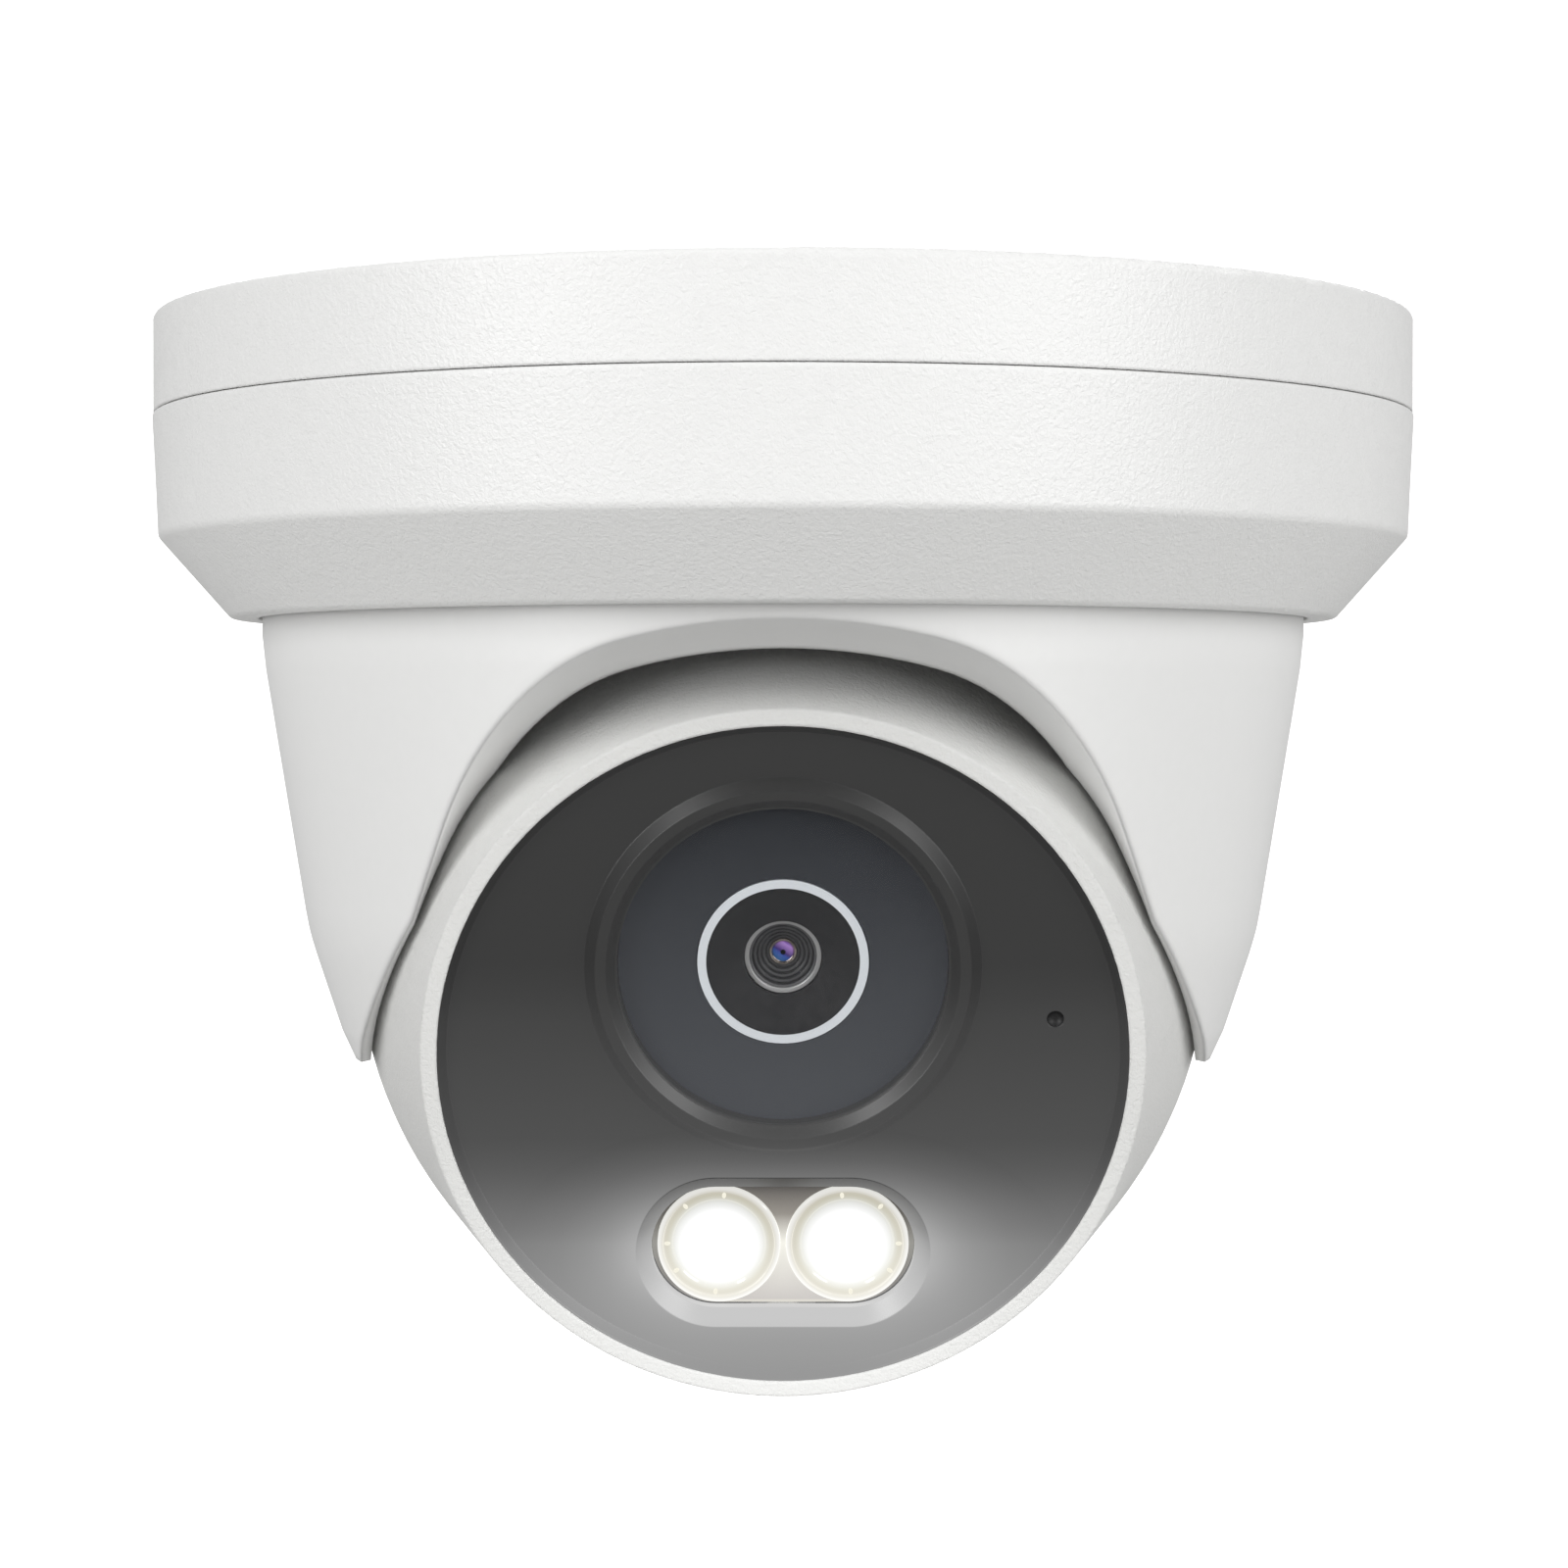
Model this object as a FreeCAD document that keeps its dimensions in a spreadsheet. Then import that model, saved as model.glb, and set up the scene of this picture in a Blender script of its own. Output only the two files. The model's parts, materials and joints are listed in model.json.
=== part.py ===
import FreeCAD, Part
import math
import os
import re

import Sketcher

# Turret security camera for a ceiling.  Millimetres, +Z up.  The origin is the centre of the
# ceiling face, the camera hangs below it and looks towards -Y.

doc = FreeCAD.newDocument("TurretCamera")

# ---------------------------------------------------------------- driving dimensions
SIZES = {
    # mounting base
    "base_radius": 55.0, "base_depth": 8.5, "base_plate": 3.0, "base_wall": 2.4,
    "base_edge_round": 0.6, "spigot_radius": 48.0, "spigot_wall": 2.4, "spigot_depth": 20.5,
    "gasket_outer": 52.0, "gasket_width": 3.0, "gasket_thickness": 0.8,
    "screw_circle": 78.0, "screw_hole": 4.5, "cable_hole": 16.0, "grommet_bore": 6.0,
    "grommet_lip": 1.5, "notch_width": 9.0,
    # bayonet
    "lug_thickness": 2.4, "base_lug_top": 13.6, "lug_angle": 18.0, "bayonet_gap": 0.2,
    # trim ring
    "ring_proud": 0.1, "ring_draft": 0.5, "ring_shoulder_depth": 19.1, "ring_bottom_depth": 26.1,
    "ring_bottom_radius": 48.4, "ring_wall": 2.8, "ring_ledge_depth": 23.4,
    "ring_edge_round": 0.8, "seam_gap": 0.07, "lock_screw_depth": 12.2, "lock_screw_size": 3.0,
    # washers
    "pan_washer_thickness": 0.5, "ring_washer_thickness": 0.25, "pan_slack": 0.05,
    # shroud
    "neck_radius": 45.7, "neck_gap": 0.35, "neck_depth": 27.6, "flange_radius": 47.5,
    "flange_thickness": 1.95, "shroud_wall": 1.7, "cone_start_radius": 45.42,
    "cone_start_depth": 30.4, "cone_end_radius": 41.68, "cone_end_depth": 53.4,
    "toe_radius": 38.85, "toe_depth": 61.9, "shroud_depth": 64.3, "shroud_tip_radius": 37.75,
    "belly_round": 24.0,
    # arch in the shroud
    "arch_fall": 18.0, "arch_top": 11.67, "arch_head_radius": 86.4,
    "arch_shoulder_radius": 19.31, "arch_leg_angle": 25.8, "arch_leg_reach": 28.91,
    "arch_leg_height": -4.0, "arch_flare_drop": 6.05, "arch_flare_angle": 43.2,
    "arch_lip": 1.8, "arch_lip_depth": 6.5, "lip_gap": 0.45,
    # ball
    "ball_drop": 54.33, "ball_radius": 37.52, "ball_wall": 2.2, "rest_tilt": 14.46,
    "rim_reach": 32.42, "rim_radius": 29.2, "shell_split": 6.0,
    # yoke and pivots
    "yoke_gap": 0.38, "yoke_thickness": 1.0, "yoke_width": 8.0, "yoke_eye": 4.6, "yoke_hub": 11.0,
    "yoke_room": 0.35, "pin_radius": 2.0, "running_gap": 0.05,
    "neck_outer": 6.0, "neck_bore": 3.4, "retainer_outer": 7.0, "retainer_thickness": 0.55,
    # shell joint
    "seal_cord": 1.4, "seal_radius": "=ball_radius - 1.52",
    "shell_screw_circle": "=ball_radius - 5.12", "shell_boss": 2.6,
    "shell_screw_size": 2.5, "shell_head_size": 4.4, "shell_head_depth": 13.0,
    # front cover
    "cover_radius": 27.8, "cover_fit": 0.05, "cover_face": 31.4, "cover_thickness": 2.0,
    "dish_radius": 27.14, "cover_seal_thickness": 0.5, "ledge_radius": 26.0,
    "lens_height": 7.5, "window_foot": 15.95, "crest_outer": 15.04, "crest_inner": 14.22,
    "crest_outer_reach": 32.36, "crest_inner_reach": 32.2, "window_opening": 13.32,
    "window_edge_reach": 31.26, "window_thickness": 1.0, "window_sink": 0.16,
    "baffle_inner": "=lens_head_radius + 0.09", "baffle_inner_reach": 29.55, "baffle_thickness": 0.8,
    "lamp_height": 16.9, "lamp_spacing": 10.56, "lamp_slot_ends": 11.02, "lamp_slot_radius": 5.3,
    "lamp_bevel": 1.2, "lamp_lens_radius": 5.05, "lamp_lens_front": 29.7,
    "lamp_lens_flange": 1.1, "mic_side": 21.9, "mic_height": 3.26, "mic_hole": 1.4,
    # lens
    "lens_head_radius": 6.91, "lens_ring_width": 0.71, "lens_ring_front": 29.6,
    "lens_front": 28.7, "lens_eye": 3.17, "lens_thread_radius": 6.0, "lens_head_back": 22.0,
    "lens_back": 12.0, "holder_radius": 8.5, "sensor_front": 10.2,
    # inside
    "bracket_front": 16.5, "bracket_thickness": 1.6, "bracket_radius": "=ball_radius - 6.72",
    "board_thickness": 1.2, "sensor_board_front": 9.2, "sensor_board_size": 26.0,
    "main_board_front": 1.4, "main_board_radius": "=ball_radius - 8.52",
    "standoff_circle": "=ball_radius - 13.52",
    "standoff_radius": 2.2, "lamp_board_front": 24.6, "lamp_board_thickness": 1.0,
}

sheet = doc.addObject("Spreadsheet::Sheet", "Sizes")
for row, alias in enumerate(SIZES, 1):
    sheet.set(f"A{row}", alias.replace("_", " "))
    sheet.setAlias(f"B{row}", alias)
for row, number in enumerate(SIZES.values(), 1):
    sheet.set(f"B{row}", str(number))
doc.recompute()


def ex(text):
    """Write a formula of size names as a FreeCAD expression."""
    return re.sub(r"[a-z][a-z_]*", lambda m: "Sizes." + m[0] if m[0] in SIZES else m[0], str(text))


def val(text):
    """Work out a formula of size names as a plain number."""
    got = sheet.evalExpression(ex(text))
    return float(getattr(got, "Value", got))


# ---------------------------------------------------------------- modelling helpers
def place(obj, x=0, y=0, z=0, axis=(0, 0, 1), angle=0):
    """Bind an object's place, and its turn about an axis, to formulas."""
    obj.Placement = FreeCAD.Placement(FreeCAD.Vector(), FreeCAD.Rotation(FreeCAD.Vector(*axis), 1))
    for side, text in zip("xyz", (x, y, z)):
        obj.setExpression(f"Placement.Base.{side}", ex(text))
    obj.setExpression("Placement.Rotation.Angle", ex(angle))
    return obj


PRIMITIVES = ("Part::Box", "Part::Cylinder", "Part::Cone", "Part::Sphere")


def in_ball(obj, height=0):
    """Put an object into the ball, tilted as it rests: its Z lies along the lens axis, and its
    Y points up the face, where the object's own axis stands at a height above the ball's."""
    if obj.ExpressionEngine and obj.TypeId in PRIMITIVES:
        obj = group(obj.Name + "_held", obj)
    return place(obj, y=f"-({height})*sin(rest_tilt)", z=f"-ball_drop + ({height})*cos(rest_tilt)",
                 axis=(1, 0, 0), angle="90 + rest_tilt")


def in_arch(obj):
    """Put an object that is drawn on the arch's own axis at the ball's centre."""
    return place(obj, z="-ball_drop", axis=(1, 0, 0), angle="90 - arch_fall")


def disc(name, radius, low, high, x=0, y=0):
    """Cylinder along Z between two heights."""
    obj = doc.addObject("Part::Cylinder", name)
    obj.setExpression("Radius", ex(radius))
    obj.setExpression("Height", ex(f"({high}) - ({low})"))
    return place(obj, x, y, low)


def cone(name, low_radius, high_radius, low, high, x=0, y=0):
    """Cone along Z between two heights."""
    obj = doc.addObject("Part::Cone", name)
    obj.setExpression("Radius1", ex(low_radius))
    obj.setExpression("Radius2", ex(high_radius))
    obj.setExpression("Height", ex(f"({high}) - ({low})"))
    return place(obj, x, y, low)


def block(name, wide, deep, low, high, x=0, y=0):
    """Box centred in X and Y between two heights."""
    obj = doc.addObject("Part::Box", name)
    obj.setExpression("Length", ex(wide))
    obj.setExpression("Width", ex(deep))
    obj.setExpression("Height", ex(f"({high}) - ({low})"))
    return place(obj, f"({x}) - ({wide})/2", f"({y}) - ({deep})/2", low)


def sphere(name, radius, z=0):
    """Sphere centred on the Z axis."""
    obj = doc.addObject("Part::Sphere", name)
    obj.setExpression("Radius", ex(radius))
    return place(obj, z=z)


def cross_bar(name, radius, start, end, z=0):
    """Cylinder along X from start to end."""
    obj = doc.addObject("Part::Cylinder", name)
    obj.setExpression("Radius", ex(radius))
    obj.setExpression("Height", ex(f"({end}) - ({start})"))
    return place(obj, x=start, z=z, axis=(0, 1, 0), angle=90)


def fuse(name, *shapes):
    obj = doc.addObject("Part::MultiFuse", name)
    obj.Shapes = list(shapes)
    obj.Refine = True
    return obj


def cut(name, base, *tools):
    obj = doc.addObject("Part::Cut", name)
    obj.Base = base
    obj.Tool = tools[0] if len(tools) == 1 else fuse(name + "_tools", *tools)
    return obj


def common(name, first, second):
    obj = doc.addObject("Part::Common", name)
    obj.Base = first
    obj.Tool = second
    return obj


def group(name, *solids):
    """Separate solids in one node, for fasteners and pairs."""
    obj = doc.addObject("Part::Compound", name)
    obj.Links = list(solids)
    return obj


def tube(name, outer, inner, low, high, x=0, y=0):
    return cut(name, disc(name + "_outer", outer, low, high, x, y),
               disc(name + "_bore", inner, f"({low}) - 1", f"({high}) + 1", x, y))


def profile_sketch(body, points):
    """Closed outline of straight edges on the body's XZ plane, each corner bound to two formulas."""
    sketch = body.newObject("Sketcher::SketchObject", body.Name + "_outline")
    plane = next(f for f in body.Origin.OriginFeatures if f.Role == "XZ_Plane")
    sketch.AttachmentSupport = [(plane, "")]
    sketch.MapMode = "FlatFace"
    corners = [FreeCAD.Vector(val(a), val(b), 0) for a, b in points]
    count = len(points)
    for i in range(count):
        sketch.addGeometry(Part.LineSegment(corners[i], corners[(i + 1) % count]), False)
    for i in range(count):
        sketch.addConstraint(Sketcher.Constraint("Coincident", i, 2, (i + 1) % count, 1))
    for i, (across, up) in enumerate(points):
        for kind, text, at in (("DistanceX", across, corners[i].x), ("DistanceY", up, corners[i].y)):
            index = sketch.addConstraint(Sketcher.Constraint(kind, -1, 1, i, 1, at))
            sketch.setExpression(f"Constraints[{index}]", ex(text))
    return sketch


def turned(name, points):
    """Body of revolution about Z from an outline of (radius, height) formulas."""
    body = doc.addObject("PartDesign::Body", name)
    sketch = profile_sketch(body, points)
    solid = body.newObject("PartDesign::Revolution", name + "_turned")
    solid.Profile = sketch
    solid.ReferenceAxis = (sketch, ["V_Axis"])
    solid.Angle = 360
    body.Tip = solid
    return body


def rounded(name, base, radius, wanted):
    """Round the edges that the test picks by their centre of mass."""
    doc.recompute()
    obj = doc.addObject("Part::Fillet", name)
    obj.Base = base
    size = val(radius)
    picked = [i for i, edge in enumerate(base.Shape.Edges, 1) if wanted(edge)]
    if not picked:
        raise RuntimeError(name + " found no edge to round")
    obj.Edges = [(i, size, size) for i in picked]
    return obj


def ring_edge(radius, height, slack=0.02):
    """Test for a full circular edge about Z of that radius and height."""
    def wanted(edge):
        box = edge.BoundBox
        flat = abs(box.ZMax - val(height)) < slack and abs(box.ZMin - val(height)) < slack
        return flat and abs(box.XMax - val(radius)) < slack and abs(box.XMin + val(radius)) < slack
    return wanted


def sector(name, inner, outer, low, high, middle, width):
    """Part of a flat ring, width degrees wide and centred on an angle from +X."""
    solid = tube(name + "_ring", outer, inner, low, high)
    wedge = doc.addObject("Part::Cylinder", name + "_wedge")
    wedge.setExpression("Radius", ex(f"({outer}) + 5"))
    wedge.setExpression("Height", ex(f"({high}) - ({low})"))
    wedge.setExpression("Angle", ex(width))
    place(wedge, z=low, angle=f"({middle}) - ({width})/2")
    return common(name, solid, wedge)


NODES = []


def node(obj, name):
    """Name an object as one finished sub-part."""
    obj.Label = name
    NODES.append(obj)
    return obj


LUG_MIDDLES = (-90, 30, 150)
SIDES = (("left", -1), ("right", 1))


# ---------------------------------------------------------------- mounting base
SHOULDER_RADIUS = "(base_radius + ring_proud - ring_draft)"
RING_INSIDE = "(base_radius - base_wall - 0.4)"
RING_SLOPE = f"(({SHOULDER_RADIUS} - ring_bottom_radius)/(ring_bottom_depth - ring_shoulder_depth))"
INNER_SHOULDER = "(ring_shoulder_depth - 0.6)"
LEDGE_OUTER = f"({RING_INSIDE} - (ring_ledge_depth - {INNER_SHOULDER})*{RING_SLOPE})"
RING_BORE = "(neck_radius + neck_gap)"


def mounting_base():
    """Plate, skirt and spigot in one casting, with lugs, holes and a cable notch at the rear."""
    pan = turned("base_pan", [
        ("cable_hole/2", "0"), ("base_radius", "0"), ("base_radius", "-base_depth"),
        ("base_radius - base_wall", "-base_depth"), ("base_radius - base_wall", "-base_plate"),
        ("spigot_radius", "-base_plate"), ("spigot_radius", "-spigot_depth"),
        ("spigot_radius - spigot_wall", "-spigot_depth"),
        ("spigot_radius - spigot_wall", "-base_plate"), ("cable_hole/2", "-base_plate")])
    soft = rounded("base_soft", pan, "base_edge_round", ring_edge("base_radius", "0"))
    lugs = [sector(f"base_lug_{i}", "spigot_radius - 0.2", f"{RING_INSIDE} - neck_gap",
                   "-base_lug_top - lug_thickness", "-base_lug_top", middle, "lug_angle")
            for i, middle in enumerate(LUG_MIDDLES)]
    groove = tube("gasket_groove", "gasket_outer", "gasket_outer - gasket_width",
                  "-gasket_thickness", "1")
    holes = [disc(f"screw_hole_{i}", "screw_hole/2", "-base_plate - 1", "1",
                  f"screw_circle/2*cos({angle})", f"screw_circle/2*sin({angle})")
             for i, angle in enumerate((90, 210, 330))]
    notch = block("cable_notch", "notch_width", "base_radius", "-base_depth - 1", "-base_plate",
                  y="base_radius")
    return node(cut("base_done", fuse("base_whole", soft, *lugs), groove, notch, *holes),
                "mounting_base")


def ceiling_gasket():
    return node(tube("gasket", "gasket_outer", "gasket_outer - gasket_width",
                     "-gasket_thickness", "0"), "ceiling_gasket")


def cable_grommet():
    """Rubber plug in the cable hole, with a lip below the plate and a bore for the cable."""
    return node(turned("grommet", [
        ("grommet_bore/2", "0"), ("cable_hole/2", "0"), ("cable_hole/2", "-base_plate"),
        ("cable_hole/2 + 2", "-base_plate"), ("cable_hole/2 + 2", "-base_plate - grommet_lip"),
        ("grommet_bore/2", "-base_plate - grommet_lip")]), "cable_grommet")


def pan_washer():
    return node(tube("washer_top", "spigot_radius - 0.3", "spigot_radius - spigot_wall + 0.2",
                     "-spigot_depth - pan_washer_thickness", "-spigot_depth"), "pan_washer")


# ---------------------------------------------------------------- trim ring
def trim_ring():
    """Chamfered ring that carries the shroud's flange and twists onto the base's lugs."""
    shell = turned("ring_shell", [
        (RING_INSIDE, "-base_depth - seam_gap"),
        ("base_radius + ring_proud", "-base_depth - seam_gap"),
        (SHOULDER_RADIUS, "-ring_shoulder_depth"),
        ("ring_bottom_radius", "-ring_bottom_depth"), (RING_BORE, "-ring_bottom_depth"),
        (RING_BORE, "-ring_ledge_depth"), (LEDGE_OUTER, "-ring_ledge_depth"),
        (RING_INSIDE, f"-{INNER_SHOULDER}")])
    top = rounded("ring_soft_top", shell, "ring_edge_round/3",
                  ring_edge("base_radius + ring_proud", "-base_depth - seam_gap"))
    middle = rounded("ring_soft_shoulder", top, "ring_edge_round",
                     ring_edge(SHOULDER_RADIUS, "-ring_shoulder_depth"))
    soft = rounded("ring_soft_bottom", middle, "ring_edge_round",
                   ring_edge("ring_bottom_radius", "-ring_bottom_depth"))
    low = "-base_lug_top + bayonet_gap"
    lugs = [sector(f"ring_lug_{i}", "spigot_radius + neck_gap", f"{RING_INSIDE} + 0.2",
                   low, f"{low} + lug_thickness", turn, "lug_angle")
            for i, turn in enumerate(LUG_MIDDLES)]
    boss = radial_bar("lock_boss", "lock_screw_size/2 + 1.6", "spigot_radius + 1.2",
                      f"{RING_INSIDE} + 0.5")
    hole = radial_bar("lock_hole", "lock_screw_size/2", "spigot_radius", "base_radius + 2")
    return node(cut("ring_done", fuse("ring_whole", soft, boss, *lugs), hole), "trim_ring")


def radial_bar(name, radius, start, end):
    """Cylinder along +Y at the lock screw's height."""
    obj = doc.addObject("Part::Cylinder", name)
    obj.setExpression("Radius", ex(radius))
    obj.setExpression("Height", ex(f"({end}) - ({start})"))
    return place(obj, y=start, z="-lock_screw_depth", axis=(1, 0, 0), angle=-90)


def ring_washer():
    return node(tube("washer_low", f"{LEDGE_OUTER} - 0.2", f"{RING_BORE} + 0.05",
                     "-ring_ledge_depth", "-ring_ledge_depth + ring_washer_thickness"),
                "ring_washer")


def lock_screw():
    """Socket grub screw, its tip just short of the spigot."""
    body = radial_bar("grub", "lock_screw_size/2", "spigot_radius + pan_slack", "base_radius - 0.9")
    socket = radial_bar("grub_socket", "lock_screw_size/4", "base_radius - 2.4", "base_radius")
    return node(cut("grub_done", body, socket), "lock_screw")


# ---------------------------------------------------------------- shroud
SEAM_TURN = -60
FLANGE_LOW = "(-ring_ledge_depth + ring_washer_thickness + pan_slack)"


def arch_outline(grow):
    """Half-circle headed outline on the arch axis: head, shoulders, sloping legs and flared feet."""
    top = val("arch_top") + grow
    head = val("arch_head_radius") + grow
    shoulder = val("arch_shoulder_radius") + grow
    lean = math.radians(val("arch_leg_angle"))
    inward = FreeCAD.Vector(-math.cos(lean), -math.sin(lean), 0)
    down = FreeCAD.Vector(math.sin(lean), -math.cos(lean), 0)
    leg = FreeCAD.Vector(val("arch_leg_reach"), val("arch_leg_height"), 0) - inward * grow
    head_centre = FreeCAD.Vector(0, top - head, 0)
    line = leg + inward * shoulder
    gap = line - head_centre
    along = gap.dot(down)
    reach = -along - math.sqrt(along ** 2 - gap.dot(gap) + (head - shoulder) ** 2)
    shoulder_centre = line + down * reach
    out = (shoulder_centre - head_centre).normalize()
    join = head_centre + out * head
    leg_top = shoulder_centre - inward * shoulder
    middle_way = (out - inward).normalize()
    shoulder_middle = shoulder_centre + middle_way * shoulder
    leg_end = leg_top + down * ((leg_top.y + val("arch_flare_drop")) / math.cos(lean))
    flare = math.radians(val("arch_flare_angle"))
    foot_y = -val("shroud_depth") + val("ball_drop") - 26
    foot = FreeCAD.Vector(leg_end.x + (leg_end.y - foot_y) * math.tan(flare), foot_y, 0)

    def mirrored(point):
        return FreeCAD.Vector(-point.x, point.y, 0)

    crown = FreeCAD.Vector(0, top, 0)
    edges = [Part.Arc(mirrored(join), crown, join).toShape(),
             Part.Arc(join, shoulder_middle, leg_top).toShape(),
             Part.LineSegment(leg_top, leg_end).toShape(),
             Part.LineSegment(leg_end, foot).toShape(),
             Part.LineSegment(foot, mirrored(foot)).toShape(),
             Part.LineSegment(mirrored(foot), mirrored(leg_end)).toShape(),
             Part.LineSegment(mirrored(leg_end), mirrored(leg_top)).toShape(),
             Part.Arc(mirrored(leg_top), mirrored(shoulder_middle), mirrored(join)).toShape()]
    return Part.Wire(edges)


def arch_prism(name, grow):
    """The arch's outline, grown by an amount, pushed forward from the ball's centre."""
    outline = doc.addObject("Part::Feature", name + "_outline")
    outline.Shape = arch_outline(grow)
    prism = doc.addObject("Part::Extrusion", name)
    prism.Base = outline
    prism.DirMode = "Custom"
    prism.Dir = FreeCAD.Vector(0, 0, 1)
    prism.setExpression("LengthFwd", ex("base_radius + 10"))
    prism.Solid = True
    return in_arch(prism)


NOSE_TURN = "(acos(ball_radius/sqrt(rim_reach^2 + rim_radius^2)) + atan(rim_radius/rim_reach))"


def nose(name, grow):
    """Ball with its tangent nose cone, grown evenly, turned from one outline on the lens axis."""
    radius = val(f"ball_radius + {grow}")
    turn = math.radians(val(NOSE_TURN))
    half = (math.pi + turn) / 2
    end_radius = val("rim_radius") + float(grow) * math.sin(turn)
    end = val("rim_reach") + float(grow) * math.cos(turn)

    def on_ball(angle):
        return FreeCAD.Vector(radius * math.sin(angle), 0, radius * math.cos(angle))

    tail = FreeCAD.Vector(0, 0, -radius)
    rim = FreeCAD.Vector(end_radius, 0, end)
    tip = FreeCAD.Vector(0, 0, end)
    outline = doc.addObject("Part::Feature", name + "_outline")
    outline.Shape = Part.Face(Part.Wire([
        Part.Arc(tail, on_ball(half), on_ball(turn)).toShape(),
        Part.LineSegment(on_ball(turn), rim).toShape(),
        Part.LineSegment(rim, tip).toShape(), Part.LineSegment(tip, tail).toShape()]))
    solid = doc.addObject("Part::Revolution", name)
    solid.Source = outline
    solid.Axis = FreeCAD.Vector(0, 0, 1)
    solid.Angle = 360
    return solid


def shroud():
    """Conical shroud with a pan flange, an arched opening with a turned-in lip, and pin sockets."""
    outer = turned("shroud_outer", [
        ("0", "-spigot_depth - 0.6"),
        ("flange_radius", f"{FLANGE_LOW} + flange_thickness"), ("flange_radius", FLANGE_LOW),
        ("neck_radius", FLANGE_LOW), ("neck_radius", "-neck_depth"),
        ("cone_start_radius", "-cone_start_depth"), ("cone_end_radius", "-cone_end_depth"),
        ("toe_radius", "-toe_depth"), ("shroud_tip_radius", "-shroud_depth"),
        ("0", "-shroud_depth")][1:] + [("0", f"{FLANGE_LOW} + flange_thickness")])
    place(outer, angle=SEAM_TURN)
    belly = rounded("shroud_belly", outer, "belly_round",
                    ring_edge("cone_end_radius", "-cone_end_depth"))
    cavity_top = f"{FLANGE_LOW} + flange_thickness + 1"
    hollow = turned("shroud_hollow", [
        ("0", cavity_top), ("neck_radius - shroud_wall", cavity_top),
        ("neck_radius - shroud_wall", "-neck_depth"),
        ("cone_start_radius - shroud_wall", "-cone_start_depth"),
        ("cone_end_radius - shroud_wall", "-cone_end_depth"), ("0", "-cone_end_depth")])
    place(hollow, angle=SEAM_TURN)
    yoke_ball = place(sphere("yoke_ball", YOKE_OUTER + " + yoke_room"), z="-ball_drop",
                      angle=SEAM_TURN)
    yoke_room = common("yoke_room", yoke_ball,
                       disc("yoke_room_slab", "base_radius", "-ball_drop - yoke_eye - 0.6", "0"))
    cavity = cut("shroud_cavity", fuse("shroud_room", hollow, yoke_room),
                 arch_prism("arch_grown", val("arch_lip")))
    ball_room = in_ball(nose("ball_room", val("lip_gap")))
    lip_end = turned("shroud_lip_end", [
        ("0", cavity_top), ("neck_radius - arch_lip_depth", cavity_top),
        ("neck_radius - arch_lip_depth", "-neck_depth"),
        ("cone_start_radius - arch_lip_depth", "-cone_start_depth"),
        ("cone_end_radius - arch_lip_depth", "-cone_end_depth + 1"),
        ("0", "-cone_end_depth + 1")])
    place(lip_end, angle=SEAM_TURN)
    walls = cut("shroud_walls", belly, cavity, lip_end)
    opened = cut("shroud_opened", walls, arch_prism("arch_opening", 0))
    arched = cut("shroud_arched", opened, ball_room)
    sockets = [cross_bar(f"pin_socket_{side}", "pin_radius", f"{sign}*({PIN_MIDDLE}) - 1.35",
                         f"{sign}*({PIN_MIDDLE}) + 1.35", "-ball_drop") for side, sign in SIDES]
    return node(cut("shroud_done", arched, *sockets), "shroud")


YOKE_INNER = "(ball_radius + yoke_gap)"
YOKE_OUTER = "(ball_radius + yoke_gap + yoke_thickness)"
PIN_START = "(ball_radius + yoke_gap + 0.05)"
PIN_END = "(ball_radius + yoke_gap + 2.75)"
PIN_MIDDLE = f"(({PIN_START}) + ({PIN_END}))/2"


def tilt_pins():
    """Two pivot pins, pressed into the shroud's legs and reaching through the yoke's eyes."""
    pins = [cross_bar(f"pin_{side}", "pin_radius", f"{sign}*({PIN_MIDDLE}) - 1.35",
                      f"{sign}*({PIN_MIDDLE}) + 1.35", "-ball_drop") for side, sign in SIDES]
    return node(group("pins", *pins), "tilt_pins")


# ---------------------------------------------------------------- tilt yoke
def ball_layer(name, inner, outer):
    return cut(name, sphere(name + "_outer", outer), sphere(name + "_inner", inner))


def tilt_yoke():
    """Strap formed round the back of the ball, with an eye at each pivot and a round hub behind."""
    strap = block("strap", "2*base_radius", "yoke_width", "-base_radius", "0")
    eyes = cross_bar("eye_bar", "yoke_eye", "-base_radius", "base_radius")
    hub = disc("hub_disc", "yoke_hub", "-base_radius", "0")
    layer = common("yoke_layer", ball_layer("yoke_shell", YOKE_INNER, YOKE_OUTER),
                   fuse("yoke_plan", strap, eyes, hub))
    pin_hole = cross_bar("pin_hole", "pin_radius + running_gap", "-base_radius", "base_radius")
    hub_hole = disc("hub_hole", "neck_outer + running_gap", "-base_radius", "0")
    return node(in_ball(cut("yoke_done", layer, pin_hole, hub_hole)), "tilt_yoke")


def roll_washer():
    """Slip liner bonded inside the hub."""
    layer = common("liner_layer", ball_layer("liner_shell", "ball_radius + running_gap", YOKE_INNER),
                   disc("liner_disc", "yoke_hub - 0.5", "-base_radius", "0"))
    hole = disc("liner_hole", "neck_outer + running_gap", "-base_radius", "0")
    return node(in_ball(cut("liner_done", layer, hole)), "roll_washer")


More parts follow.
